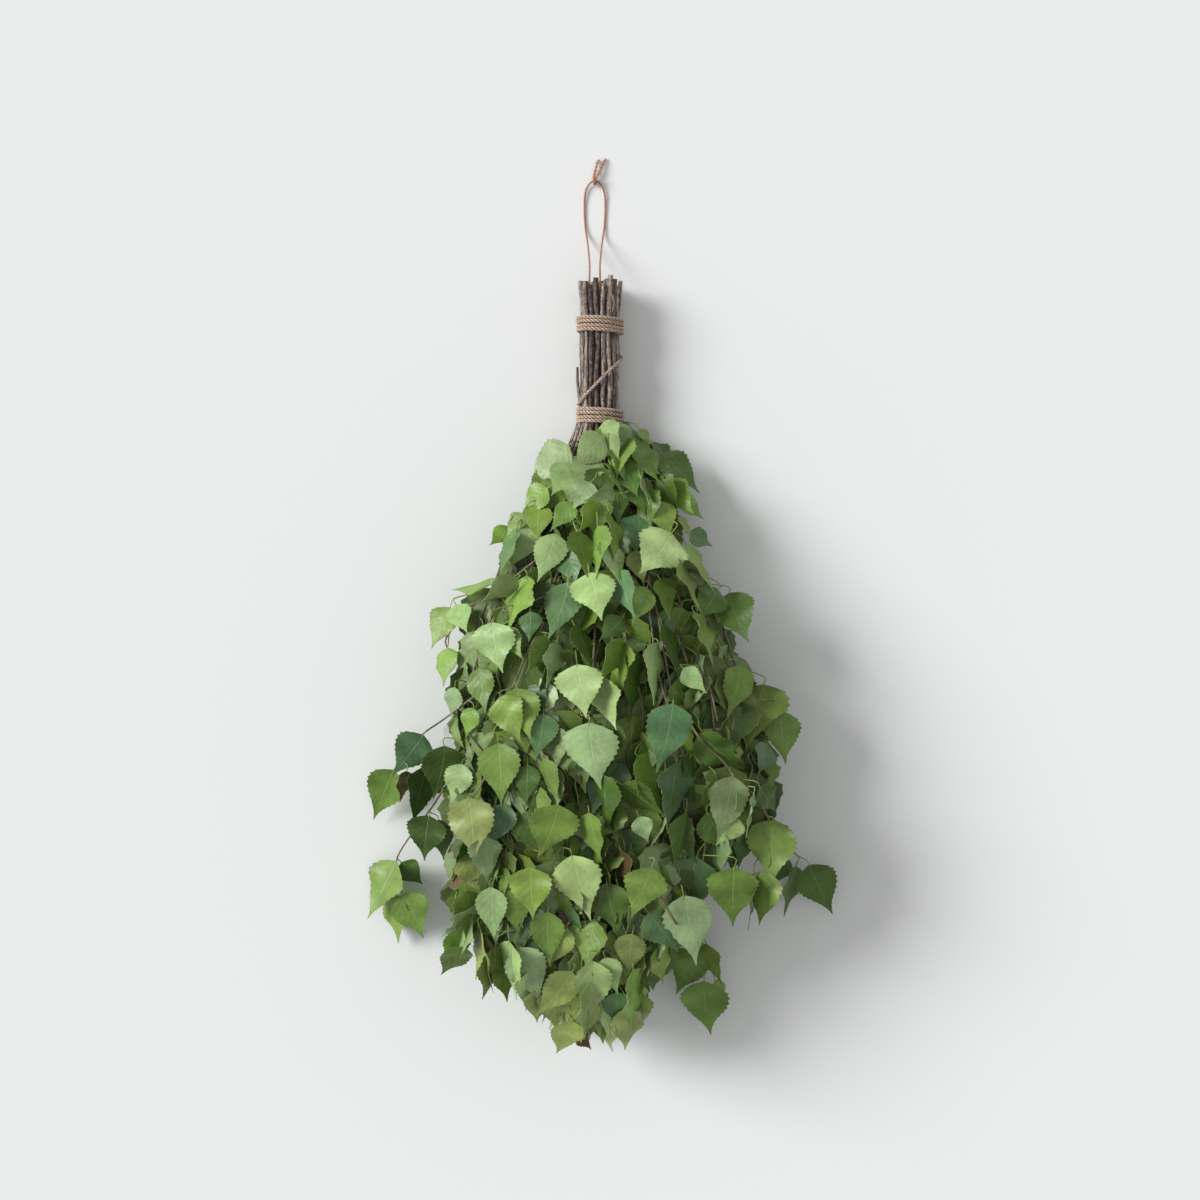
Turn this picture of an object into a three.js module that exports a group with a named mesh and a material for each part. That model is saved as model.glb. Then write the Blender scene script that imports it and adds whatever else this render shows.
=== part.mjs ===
// A bundle of leafy birch twigs, bound at the handle with two jute ties and given a hanging loop.
// It lies on a flat surface, on its ties and its lowest leaves.
// Millimetres, +Z up. +Y runs from the leaf tips to the cut ends, and the origin is the middle of
// the footprint, on the surface. "Along" is the distance from the furthest cut end towards the leaf tips.
import * as THREE from "three";

// Driving dimensions
const WHISK_LENGTH = 600;
const TWIG_DIAMETER = 4.4;
const HANDLE_RADIUS = 15.8;
const TIE_TWINE = 2.6;
const STRAND_TWINE = 2.4;
const LOOP_TWINE = 1.8;
const CLEARANCE = 0.3;

// The ties are wound with a little air between their turns
const TIE_TURNS = 4;
const TIE_PITCH = TIE_TWINE + 0.5;
const TIE_WIDTH = TIE_TURNS * TIE_PITCH + TIE_TWINE;

// Where things are along the whisk
const UPPER_TIE = 38;
const LOWER_TIE = 109;
const TWIGS_END = 138.6;
const LEAVES_START = TWIGS_END + CLEARANCE;

// The middle of the handle is as high as its ties are thick
const HANDLE_HEIGHT = HANDLE_RADIUS + CLEARANCE + TIE_TWINE;

const BARK = new THREE.MeshStandardMaterial({ color: 0x6b5c50, roughness: 0.85, metalness: 0 });
const JUTE = new THREE.MeshStandardMaterial({ color: 0xb99d7f, roughness: 0.95, metalness: 0 });
const LEAF = new THREE.MeshStandardMaterial({ color: 0x6f9458, roughness: 0.6, metalness: 0 });

const whisk = new THREE.Group();

const yOf = (along) => WHISK_LENGTH / 2 - along;

function add(name, geometry, material) {
  const mesh = new THREE.Mesh(geometry, material);
  mesh.name = name;
  whisk.add(mesh);
}

// The value at one place of a table of [along, value, value, ...] rows, straight between rows.
function valuesAt(rows, along) {
  const next = rows.findIndex((row) => row[0] >= along);
  if (next === 0) return rows[0].slice(1);
  if (next < 0) return rows[rows.length - 1].slice(1);
  const [before, after] = [rows[next - 1], rows[next]];
  const share = (along - before[0]) / (after[0] - before[0]);
  return before.slice(1).map((value, i) => value + share * (after[i + 1] - value));
}

// A closed solid through slices across Y, each { x, y, z, rx, rz }, from the handle's end on.
// Nothing of it goes under the surface that the whisk lies on.
function loft(slices, sides) {
  const steps = slices.length - 1;
  const geometry = new THREE.CylinderGeometry(1, 1, 1, sides, steps);
  const place = geometry.getAttribute("position");
  for (let i = 0; i < place.count; i++) {
    const slice = slices[Math.round((0.5 - place.getY(i)) * steps)];
    const x = slice.x + slice.rx * place.getX(i);
    const z = slice.z + slice.rz * place.getZ(i);
    place.setXYZ(i, x, slice.y, Math.max(0, z));
  }
  return geometry;
}

// A round cord of one thickness along a curve.
function cord(curve, diameter, steps, sides) {
  const section = new THREE.Shape().absarc(0, 0, diameter / 2, 0, 2 * Math.PI);
  return new THREE.ExtrudeGeometry(section, { extrudePath: curve, steps, curveSegments: sides / 2 });
}

// ---- Twigs: rings of round stems round a middle one, pinched by the ties and spreading below them

// along, scale of the packing across and up, and height of its middle
const PACKING = [
  [0, 1.15, 1.1, HANDLE_HEIGHT],
  [16, 1.05, 1.03, HANDLE_HEIGHT],
  [UPPER_TIE - TIE_WIDTH / 2, 1, 1, HANDLE_HEIGHT],
  [UPPER_TIE + TIE_WIDTH / 2, 1, 1, HANDLE_HEIGHT],
  [LOWER_TIE + TIE_WIDTH / 2, 1, 1, HANDLE_HEIGHT],
  [128, 1.25, 1.1, HANDLE_HEIGHT + 1],
  [TWIGS_END, 1.65, 1.25, HANDLE_HEIGHT + 3],
];
const TAPER_PER_MM = 0.0015;
const LONGEST_TWIG = 21;
const RINGS = 3;
const RING_PITCH = (HANDLE_RADIUS - TWIG_DIAMETER / 2) / RINGS;
// The two places of the second ring that hold the ends of the hanging loop, as turns of a full circle
const LOOP_RING = 2;
const LOOP_PLACES = { left: 5 / 12, right: 3 / 12 };

const ringPoint = (ring, turn) => ({
  x: ring * RING_PITCH * Math.cos(2 * Math.PI * turn),
  z: ring * RING_PITCH * Math.sin(2 * Math.PI * turn),
});

function twigPlaces() {
  const places = [{ x: 0, z: 0 }];
  for (let ring = 1; ring <= RINGS; ring++) {
    const count = 6 * ring;
    for (let i = 0; i < count; i++) {
      const turn = i / count;
      if (ring === LOOP_RING && Object.values(LOOP_PLACES).includes(turn)) continue;
      places.push(ringPoint(ring, turn));
    }
  }
  return places;
}

// Twigs are cut to slightly different lengths and vary a little in thickness.
function twig({ x, z }, number) {
  const cut = number === LONGEST_TWIG ? 0 : 5 + 3 * Math.sin(number * 2.4);
  const butt = (TWIG_DIAMETER / 2) * (0.96 + 0.05 * Math.sin(number * 1.7));
  const alongs = [cut, ...PACKING.map((row) => row[0]).filter((along) => along > cut)];
  const slices = alongs.map((along) => {
    const [across, up, height] = valuesAt(PACKING, along);
    const radius = butt * (1 - TAPER_PER_MM * along);
    return { x: x * across, y: yOf(along), z: height + z * up, rx: radius, rz: radius };
  });
  return loft(slices, 6);
}

twigPlaces().forEach((place, i) => {
  const number = i + 1;
  add(`twig_${String(number).padStart(2, "0")}`, twig(place, number), BARK);
});

// ---- Leafy sprays: rows of fanning masses of leaves and fine shoots

// along, half width and half height of the whole crown, height of its middle, and x of its middle
const CROWN = [
  [LEAVES_START, 30, 19, HANDLE_HEIGHT + 1, 0],
  [150, 54, 24, 22, 3],
  [175, 68, 34, 31, 3],
  [215, 84, 44, 40, 0],
  [265, 108, 53, 48, -3],
  [320, 124, 58, 52, 2],
  [400, 129, 59, 53, 10],
  [460, 129, 55, 49, 6],
  [520, 126, 48, 43, -4],
  [560, 120, 40, 36, -10],
  [WHISK_LENGTH, 114, 28, 25, -14],
];
// A spray is this share of the crown's half width and half height, in three staggered rows
const SPRAY_WIDTH = 0.2;
const SPRAY_HEIGHT = 1 / (1 + Math.sqrt(3));
const ROW_RISE = Math.sqrt(3) * SPRAY_HEIGHT;
const SPRAY_FILL = 0.97;
const START_FILL = 0.72;
const START_LENGTH = 30;
const TIP_LENGTH = 65;
const TIP_FILL = 0.2;

// How far along the whisk each spray of a row reaches, from left to right
const SPRAY_ROWS = [
  { name: "under", rise: -ROW_RISE, reach: [533, 588, 574, 498] },
  { name: "middle", rise: 0, reach: [522, 556, 600, 545, 490] },
  { name: "upper", rise: ROW_RISE, reach: [528, 583, 586, 503] },
];

// How full a spray is at one place: it swells at its start and rounds off at its tip.
function fullness(along, reach) {
  const begun = Math.min(1, (along - LEAVES_START) / START_LENGTH);
  const ended = Math.max(0, (along - (reach - TIP_LENGTH)) / TIP_LENGTH);
  const tip = TIP_FILL + (1 - TIP_FILL) * Math.sqrt(1 - ended ** 2);
  return SPRAY_FILL * (START_FILL + (1 - START_FILL) * begun) * tip;
}

function spray(across, rise, reach) {
  const rounding = [0.5, 0.15, 0].map((share) => reach - share * TIP_LENGTH);
  const stations = CROWN.map((row) => row[0]).filter((along) => along < reach);
  const alongs = [...new Set([...stations, ...rounding])].sort((a, b) => a - b);
  const slices = alongs.map((along) => {
    const [halfWidth, halfHeight, height, middle] = valuesAt(CROWN, along);
    const full = fullness(along, reach);
    return {
      x: middle + across * halfWidth,
      y: yOf(along),
      z: height + rise * halfHeight,
      rx: full * SPRAY_WIDTH * halfWidth,
      rz: full * SPRAY_HEIGHT * halfHeight,
    };
  });
  return loft(slices, 9);
}

for (const { name, rise, reach } of SPRAY_ROWS) {
  reach.forEach((end, i) => {
    const across = (2 * i - (reach.length - 1)) * SPRAY_WIDTH;
    add(`spray_${name}_${i + 1}`, spray(across, rise, end), LEAF);
  });
}

// Sprays on long side shoots that hang clear of the crown: rows of along, x, half width, and thickness
const LOOSE_SPRAYS = {
  spray_loose_left: [
    [344, -140, 4, 10],
    [360, -150, 22, 20],
    [385, -152, 28, 26],
    [415, -150, 26, 26],
    [436, -146, 14, 18],
    [446, -144, 4, 8],
  ],
  spray_loose_low_left: [
    [447, -158, 4, 8],
    [462, -158, 18, 18],
    [485, -157, 22, 24],
    [505, -154, 15, 18],
    [518, -152, 4, 8],
  ],
  spray_loose_right: [
    [437, 143, 5, 10],
    [455, 153, 16, 18],
    [478, 161, 20, 22],
    [492, 166, 12, 18],
    [500, 169, 4, 8],
  ],
  spray_loose_low_right: [
    [503, 70, 5, 10],
    [522, 76, 22, 20],
    [550, 79, 24, 24],
    [574, 79, 13, 18],
    [590, 78, 3, 8],
  ],
};
const LOOSE_SINK = 0.4;

for (const [name, rows] of Object.entries(LOOSE_SPRAYS)) {
  const slices = rows.map(([along, x, halfWidth, thickness]) => ({
    x,
    y: yOf(along),
    z: LOOSE_SINK * thickness,
    rx: halfWidth,
    rz: thickness * (1 - LOOSE_SINK),
  }));
  add(name, loft(slices, 9), LEAF);
}

// ---- Jute: two ties wound round the handle, the strand that links them, and a curled loose end

// Turns run anticlockwise as seen from the cut ends' side, counted from +X.
class Winding extends THREE.Curve {
  constructor({ radius, turns, from, turnFrom }) {
    super();
    Object.assign(this, { radius, turns, from, turnFrom });
  }
  getPoint(t, target = new THREE.Vector3()) {
    const angle = 2 * Math.PI * (this.turnFrom + t * this.turns);
    const along = valuesAt(this.from, t)[0];
    return target.set(
      this.radius * Math.cos(angle),
      yOf(along),
      HANDLE_HEIGHT + this.radius * Math.sin(angle),
    );
  }
}

const STEPS_PER_TURN = 18;
const tieRadius = HANDLE_RADIUS + CLEARANCE + TIE_TWINE / 2;

function tie(middle) {
  const half = (TIE_TURNS * TIE_PITCH) / 2;
  const winding = new Winding({
    radius: tieRadius,
    turns: TIE_TURNS,
    turnFrom: -0.2,
    from: [[0, middle - half], [1, middle + half]],
  });
  return cord(winding, TIE_TWINE, TIE_TURNS * STEPS_PER_TURN, 6);
}
add("tie_upper", tie(UPPER_TIE), JUTE);
add("tie_lower", tie(LOWER_TIE), JUTE);

// From the lower tie at the left, over the front, round the back and up to the upper tie.
const besideTie = TIE_WIDTH / 2 + STRAND_TWINE;
const strand = new Winding({
  radius: HANDLE_RADIUS + CLEARANCE + STRAND_TWINE / 2,
  turns: -0.8,
  turnFrom: 0.5,
  from: [
    [0, LOWER_TIE - besideTie],
    [0.62, 64],
    [1, UPPER_TIE + besideTie],
  ],
});
add("tie_strand", cord(strand, STRAND_TWINE, 26, 6), JUTE);

// A thin loose end that curls over the cut ends, above the upper tie.
const looseEnd = new THREE.CatmullRomCurve3([
  new THREE.Vector3(9.5, yOf(29), HANDLE_HEIGHT + 15.6),
  new THREE.Vector3(10.5, yOf(20), HANDLE_HEIGHT + 15.4),
  new THREE.Vector3(7, yOf(11), HANDLE_HEIGHT + 17.4),
  new THREE.Vector3(4.5, yOf(4), HANDLE_HEIGHT + 18.4),
]);
add("tie_loose_end", cord(looseEnd, 1.2, 8, 6), JUTE);

// ---- Hanging loop: out of the bundle, down to the surface, round a loop as wide as a peg, and back

const LOOP_TOP = 78;
const LOOP_HALF_WIDTH = 8.2;
const LOOP_SHIFT = -4;
const KNOT_RADIUS = 2.5;
const KNOT_TWINE = 1.2;
const KNOT_HEIGHT = KNOT_RADIUS + KNOT_TWINE;
const loopRest = LOOP_TWINE / 2;

// One side of the loop, from inside the bundle to just short of its top: beyond the cut ends, x, z
function loopSide(side, sign) {
  const inside = ringPoint(LOOP_RING, LOOP_PLACES[side]);
  const height = HANDLE_HEIGHT + inside.z;
  const wide = LOOP_SHIFT + sign * LOOP_HALF_WIDTH;
  const middle = (inside.x + wide) / 2;
  return [
    [-24, inside.x, height],
    [-14, inside.x, height],
    [-2, inside.x * 1.04, height],
    [8, inside.x * 1.02, height - 1],
    [20, middle * 0.4 + inside.x * 0.6, height * 0.55],
    [32, middle, 3.5],
    [43, wide * 0.7 + middle * 0.3, loopRest],
    [57, wide, loopRest],
    [68, LOOP_SHIFT + sign * LOOP_HALF_WIDTH * 0.93, loopRest + 0.6],
    [75, LOOP_SHIFT + sign * LOOP_HALF_WIDTH * 0.6, 2.2],
  ].map(([beyond, x, z]) => new THREE.Vector3(x, yOf(-beyond), z));
}
const loopTop = new THREE.Vector3(LOOP_SHIFT, yOf(-LOOP_TOP), KNOT_HEIGHT);
const loopRoute = new THREE.CatmullRomCurve3(
  [...loopSide("left", -1), loopTop, ...loopSide("right", 1).reverse()],
);
add("hanging_loop", cord(loopRoute, LOOP_TWINE, 76, 8), JUTE);

// The knot is a turn of the twine round the top of the loop, and its two ends stand off it.
const knot = new THREE.TorusGeometry(KNOT_RADIUS, KNOT_TWINE, 7, 14);
knot.rotateY(Math.PI / 2).translate(loopTop.x, loopTop.y, loopTop.z);
add("loop_knot", knot, JUTE);

function looseTail(from, to, length) {
  const start = loopTop.y + KNOT_RADIUS + KNOT_TWINE + CLEARANCE;
  return new THREE.CatmullRomCurve3([
    new THREE.Vector3(loopTop.x + from, start, KNOT_HEIGHT),
    new THREE.Vector3(loopTop.x + (from + to) / 2, start + 0.5 * length, KNOT_HEIGHT - 1),
    new THREE.Vector3(loopTop.x + to, start + length, loopRest + 0.3),
  ]);
}
add("loop_end_short", cord(looseTail(-1.3, 3, 12), LOOP_TWINE, 5, 6), JUTE);
add("loop_end_long", cord(looseTail(1.3, 8.5, 13), LOOP_TWINE, 5, 6), JUTE);

export default whisk;
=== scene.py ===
"""A bundle of leafy birch twigs, tied with jute, lying on a pale floor and seen from above.

The row frame: metres, +Z up from the floor, +Y towards the cut ends of the handle. The tables of the loop,
the ties, the crown, the twigs and the leaves are in millimetres, which "* MM" turns into metres. "Along" is
always in millimetres, from the furthest cut end towards the leaf tips.
"""

import math
import random
from contextlib import contextmanager

import bmesh
import bpy
import numpy as np
from mathutils import Matrix, Vector, kdtree, noise


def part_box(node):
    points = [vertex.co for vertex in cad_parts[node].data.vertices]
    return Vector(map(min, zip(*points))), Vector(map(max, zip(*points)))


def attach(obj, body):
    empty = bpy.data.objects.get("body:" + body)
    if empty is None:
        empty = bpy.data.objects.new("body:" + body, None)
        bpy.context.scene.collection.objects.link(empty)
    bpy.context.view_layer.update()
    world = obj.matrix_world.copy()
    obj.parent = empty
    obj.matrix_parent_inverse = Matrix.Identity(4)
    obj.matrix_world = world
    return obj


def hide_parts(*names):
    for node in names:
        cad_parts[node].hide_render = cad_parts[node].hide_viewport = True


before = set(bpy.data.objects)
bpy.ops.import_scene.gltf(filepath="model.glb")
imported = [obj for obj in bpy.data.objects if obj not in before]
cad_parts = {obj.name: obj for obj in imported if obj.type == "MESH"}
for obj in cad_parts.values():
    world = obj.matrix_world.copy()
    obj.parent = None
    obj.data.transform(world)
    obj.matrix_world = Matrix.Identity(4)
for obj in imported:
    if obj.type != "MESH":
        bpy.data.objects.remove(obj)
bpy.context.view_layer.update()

MM = 0.001
HALF_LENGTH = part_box("twig_21")[1].y
HANDLE_HEIGHT = (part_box("tie_lower")[0].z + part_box("tie_lower")[1].z) / 2
HANDLE_RADIUS = 15.8 * MM
TWIG_RADIUS = 2.2 * MM
LEAVES_START = 138.9
# How low the middle lines of stalks, thin twigs and shoots may go
LOWEST_STALK = 0.7 * MM
LOWEST_TWIG = 1.5 * MM
LOWEST_SHOOT = 2.5 * MM


def y_of(along):
    return HALF_LENGTH - along * MM


def place_at(x, along, z):
    """A place in the frame from millimetres."""
    return np.array((x * MM, y_of(along), z * MM))


def unit(vector):
    vector = np.asarray(vector, float)
    return vector / np.linalg.norm(vector)


def between(at, known, rows):
    """Rows of values at one number or at several, from those at the known numbers, which go up."""
    return np.stack([np.interp(at, known, column) for column in np.transpose(rows)], axis=-1)


# ---- Making and placing pieces


def linked(name, data):
    obj = bpy.data.objects.new(name, data)
    bpy.context.scene.collection.objects.link(obj)
    return obj


def new_object(name, mesh, materials):
    for material in materials:
        mesh.materials.append(material)
    return linked(name, mesh)


def finish_piece(obj, nodes=()):
    """The piece lies with the rest of the bundle, and stands for these nodes."""
    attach(obj, "root")
    if nodes:
        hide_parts(*nodes)


def distances(points):
    """How far it is along a line from its start to each of its points."""
    return np.concatenate([[0], np.cumsum(np.linalg.norm(np.diff(points, axis=0), axis=1))])


def resample(points, spacing):
    """Points at an even spacing along a line of points."""
    gone = distances(points)
    count = max(2, int(round(gone[-1] / spacing)) + 1)
    return between(np.linspace(0, gone[-1], count), gone, points)


def smooth_line(points, spacing):
    """An evenly spaced line through hand-set points, rounded as a Catmull-Rom curve is."""
    points = np.asarray(points, float)
    ends = np.vstack([2 * points[0] - points[1], points, 2 * points[-1] - points[-2]])
    line = [points[0]]
    for before, start, end, after in zip(ends, ends[1:], ends[2:], ends[3:]):
        for t in np.linspace(0, 1, 13)[1:]:
            squared = (2 * before - 5 * start + 4 * end - after) * t**2
            cubed = (3 * start - before - 3 * end + after) * t**3
            line.append(0.5 * (2 * start + (end - before) * t + squared + cubed))
    return resample(line, spacing)


POINT_FIELDS = {"FLOAT": "value", "FLOAT_VECTOR": "vector", "FLOAT_COLOR": "color"}


def mark_points(mesh, name, kind, values):
    """Give each point of a mesh a value that its finish reads."""
    mesh.attributes.new(name, kind, "POINT").data.foreach_set(POINT_FIELDS[kind], np.ravel(values))


def evened(values, reach):
    """Each value as the mean of those this many places either side of it."""
    padded = np.pad(values, reach, mode="edge")
    return np.array([padded[at:at + 2 * reach + 1].mean() for at in range(len(values))])


@contextmanager
def shaping(mesh):
    """A mesh's points and faces to change, and written back to it afterwards."""
    made = bmesh.new()
    made.from_mesh(mesh)
    yield made
    made.to_mesh(mesh)
    made.free()


def tube_mesh(name, lines, roundness):
    """One mesh of round tubes with closed ends. Each line is its points and its radius at each."""
    data = bpy.data.curves.new(name, "CURVE")
    data.dimensions = "3D"
    data.bevel_depth = 1
    data.bevel_resolution = roundness
    data.use_fill_caps = True
    for points, radii in lines:
        spline = data.splines.new("POLY")
        spline.points.add(len(points) - 1)
        spline.points.foreach_set("co", np.column_stack([points, np.ones(len(points))]).ravel())
        spline.points.foreach_set("radius", np.broadcast_to(radii, len(points)).astype(float))
    source = linked(name, data)
    depsgraph = bpy.context.evaluated_depsgraph_get()
    mesh = bpy.data.meshes.new_from_object(source.evaluated_get(depsgraph))
    bpy.data.objects.remove(source)
    bpy.data.curves.remove(data)
    with shaping(mesh) as made:
        bmesh.ops.remove_doubles(made, verts=made.verts, dist=1e-6)
        bmesh.ops.recalc_face_normals(made, faces=made.faces)
    mesh.shade_smooth()
    mesh.set_sharp_from_angle(angle=math.radians(50))
    mesh.name = name
    return mesh


# ---- Shader helpers


class Nodes:
    """Adds nodes to one tree. Inputs are given by name or number, as a value or as an output to link."""

    def __init__(self, tree):
        self.tree = tree

    def fill(self, node, inputs):
        for key, value in inputs.items():
            if isinstance(value, bpy.types.NodeSocket):
                self.tree.links.new(value, node.inputs[key])
            else:
                node.inputs[key].default_value = value

    def add(self, kind, inputs=(), **settings):
        node = self.tree.nodes.new(kind)
        for key, value in settings.items():
            setattr(node, key, value)
        self.fill(node, dict(inputs))
        return node

    def math(self, operation, *values):
        return self.add("ShaderNodeMath", dict(enumerate(values)), operation=operation).outputs[0]

    def times(self, value, factor):
        return self.math("MULTIPLY", value, factor)

    def mix(self, factor, a, b):
        return self.add("ShaderNodeMix", {0: factor, 6: a, 7: b}, data_type="RGBA").outputs[2]

    def smooth(self, value, low, high, to_low=0.0, to_high=1.0):
        inputs = {0: value, 1: low, 2: high, 3: to_low, 4: to_high}
        return self.add("ShaderNodeMapRange", inputs, interpolation_type="SMOOTHSTEP").outputs[0]

    def noise(self, vector, scale, detail=3.0, rough=0.5):
        inputs = {"Vector": vector, "Scale": scale, "Detail": detail, "Roughness": rough}
        return self.add("ShaderNodeTexNoise", inputs).outputs[0]

    def stretched(self, vector, scale):
        """Places with Y scaled, so that a pattern there runs along the twigs or across them."""
        return self.add("ShaderNodeMapping", {"Vector": vector, "Scale": (1, scale, 1)}).outputs[0]

    def attribute(self, name, output):
        return self.add("ShaderNodeAttribute", attribute_name=name).outputs[output]

    def split(self, vector):
        return self.add("ShaderNodeSeparateXYZ", {0: vector}).outputs

    def place(self):
        return self.add("ShaderNodeTexCoord").outputs["Object"]

    def bump(self, height, distance, strength=1.0):
        inputs = {"Height": height, "Distance": distance, "Strength": strength}
        return self.add("ShaderNodeBump", inputs).outputs[0]


def new_group(name, inputs, outputs):
    """A shader group with named sockets, each (name, kind, start value) in and (name, kind) out."""
    tree = bpy.data.node_groups.new(name, "ShaderNodeTree")
    for socket, kind, start in inputs:
        made = tree.interface.new_socket(socket, in_out="INPUT", socket_type=kind)
        made.default_value = start
    for socket, kind in outputs:
        tree.interface.new_socket(socket, in_out="OUTPUT", socket_type=kind)
    nodes = Nodes(tree)
    return nodes, nodes.add("NodeGroupInput"), nodes.add("NodeGroupOutput")


def new_material(name):
    material = bpy.data.materials.new(name)
    material.use_nodes = True
    tree = material.node_tree
    shader = next(node for node in tree.nodes if node.type == "BSDF_PRINCIPLED")
    return material, Nodes(tree), shader


def colour(red, green, blue):
    """A colour chart's 0 to 255 value as the linear colour that a shader takes."""
    linear = [((v / 255 + 0.055) / 1.055) ** 2.4 if v > 10 else v / 255 / 12.92 for v in (red, green, blue)]
    return (*linear, 1.0)


# ---- Camera: straight above the bundle, the handle at the top

CAMERA_LENS = 70.0
SENSOR = 36.0
VIEW_WIDTH = 0.919
VIEW_HEIGHT = 0.05
VIEW_CENTRE_Y = 0.0486

camera_data = bpy.data.cameras.new("camera")
camera_data.lens = CAMERA_LENS
camera_data.sensor_width = SENSOR
camera = linked("camera", camera_data)
camera.location = (0, VIEW_CENTRE_Y, VIEW_HEIGHT + VIEW_WIDTH * CAMERA_LENS / SENSOR)
bpy.context.scene.camera = camera


# ---- Finishes

def mottle_group():
    """Soft uneven colour: a light and a dark side of one colour, at two sizes."""
    nodes, given, out = new_group(
        "uneven_colour",
        [("Colour", "NodeSocketColor", (0.5, 0.5, 0.5, 1)), ("Place", "NodeSocketVector", (0, 0, 0)),
         ("Size", "NodeSocketFloat", 60.0), ("Amount", "NodeSocketFloat", 0.2)],
        [("Colour", "NodeSocketColor"), ("Mask", "NodeSocketFloat")],
    )
    coarse = nodes.noise(given.outputs["Place"], given.outputs["Size"], 2.0)
    finer = nodes.noise(given.outputs["Place"], nodes.times(given.outputs["Size"], 6.0), 3.0)
    mask = nodes.smooth(nodes.math("MULTIPLY_ADD", finer, 0.35, nodes.times(coarse, 0.65)), 0.36, 0.64)
    low = nodes.math("SUBTRACT", 1.0, given.outputs["Amount"])
    high = nodes.math("ADD", 1.0, nodes.times(given.outputs["Amount"], 0.6))
    shade = nodes.add("ShaderNodeMapRange", {0: mask, 3: low, 4: high}).outputs[0]
    inputs = {0: given.outputs["Colour"], "Scale": shade}
    tinted = nodes.add("ShaderNodeVectorMath", inputs, operation="SCALE").outputs[0]
    nodes.fill(out, {"Colour": tinted, "Mask": mask})
    return nodes.tree


UNEVEN = mottle_group()


def uneven(nodes, tint, place, size, amount):
    inputs = {"Colour": tint, "Place": place, "Size": size, "Amount": amount}
    group = nodes.add("ShaderNodeGroup", inputs, node_tree=UNEVEN)
    return group.outputs["Colour"], group.outputs["Mask"]


def bark_material():
    """Brown-grey birch bark with pale lengthwise streaks, turning olive brown in the leafy part."""
    material, nodes, shader = new_material("birch_bark")
    place = nodes.place()
    along = nodes.stretched(place, 0.16)
    base = nodes.mix(nodes.attribute("twig_tone", "Fac"), colour(76, 58, 50), colour(188, 172, 160))
    base, _ = uneven(nodes, base, along, 260.0, 0.45)
    streaks = nodes.smooth(nodes.noise(along, 520.0, 4.0, 0.65), 0.56, 0.74)
    base = nodes.mix(nodes.times(streaks, 0.65), base, colour(196, 184, 174))
    cracks = nodes.smooth(nodes.noise(nodes.stretched(place, 0.07), 640.0, 3.0, 0.6), 0.45, 0.36)
    base = nodes.mix(nodes.times(cracks, 0.75), base, colour(52, 42, 37))
    scars = nodes.smooth(nodes.noise(nodes.stretched(place, 3.2), 420.0, 2.0, 0.4), 0.66, 0.72)
    base = nodes.mix(nodes.times(scars, 0.6), base, colour(150, 132, 112))
    flecks = nodes.noise(nodes.stretched(place, 0.55), 620.0, 3.0, 0.7)
    base = nodes.mix(nodes.smooth(flecks, 0.52, 0.38, 0.0, 0.7), base, colour(50, 38, 31))
    base = nodes.mix(nodes.smooth(flecks, 0.56, 0.68, 0.0, 0.55), base, colour(188, 172, 156))
    leafy = nodes.smooth(nodes.split(place)[1], 0.175, 0.15)
    young = nodes.mix(nodes.noise(place, 70.0), colour(108, 88, 78), colour(136, 126, 92))
    base = nodes.mix(leafy, base, young)
    grain = nodes.noise(along, 900.0, 4.0, 0.6)
    height = nodes.math("MULTIPLY_ADD", grain, 0.7, nodes.times(scars, 0.5))
    height = nodes.math("MULTIPLY_ADD", cracks, -0.8, height)
    nodes.fill(shader, {
        "Base Color": base,
        "Roughness": nodes.smooth(streaks, 0.0, 1.0, 0.55, 0.42),
        "Specular IOR Level": 0.5,
        "Normal": nodes.bump(height, 0.0011),
    })
    return material


def cut_wood_material():
    """Pale cut wood, with rings and a darker pith in the middle."""
    material, nodes, shader = new_material("cut_wood")
    spot = nodes.attribute("cut_place", "Vector")
    reach = nodes.add("ShaderNodeVectorMath", {0: spot}, operation="LENGTH").outputs["Value"]
    rings = nodes.math("SINE", nodes.times(reach, 34.0))
    base = nodes.mix(nodes.smooth(rings, -1.0, 1.0, 0.0, 0.4), colour(176, 150, 118), colour(128, 102, 76))
    base = nodes.mix(nodes.smooth(reach, 0.22, 0.1), base, colour(96, 70, 50))
    base = nodes.mix(nodes.smooth(reach, 0.86, 0.95), base, colour(82, 68, 56))
    base, _ = uneven(nodes, base, nodes.place(), 900.0, 0.3)
    nodes.fill(shader, {"Base Color": base, "Roughness": 0.85, "Specular IOR Level": 0.2})
    return material


def twine_material(name, light, dark, shaded):
    """Twisted plant fibre: light hairs on a darker ply, and a painted shade that is darker again in the
    grooves.
    """
    material, nodes, shader = new_material(name)
    place = nodes.place()
    base, _ = uneven(nodes, light, place, 190.0, 0.22)
    fibre = nodes.noise(place, 1500.0, 4.0, 0.7)
    base = nodes.mix(nodes.smooth(fibre, 0.56, 0.38, 0.0, 0.85), base, dark)
    base = nodes.mix(nodes.smooth(fibre, 0.56, 0.7, 0.0, 0.6), base, colour(242, 226, 206))
    # Painted shade: the grooves between the plies are darkened towards the shaded colour
    base = nodes.mix(nodes.smooth(nodes.attribute("groove", "Fac"), 0.05, 0.6, 0.0, 0.95), base, shaded)
    nodes.fill(shader, {
        "Base Color": base,
        "Roughness": 0.92,
        "Specular IOR Level": 0.15,
        "Sheen Weight": 0.25,
        "Sheen Roughness": 0.5,
        "Normal": nodes.bump(fibre, 0.0008),
    })
    return material


LEAF_VEINS = 7.0


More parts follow.
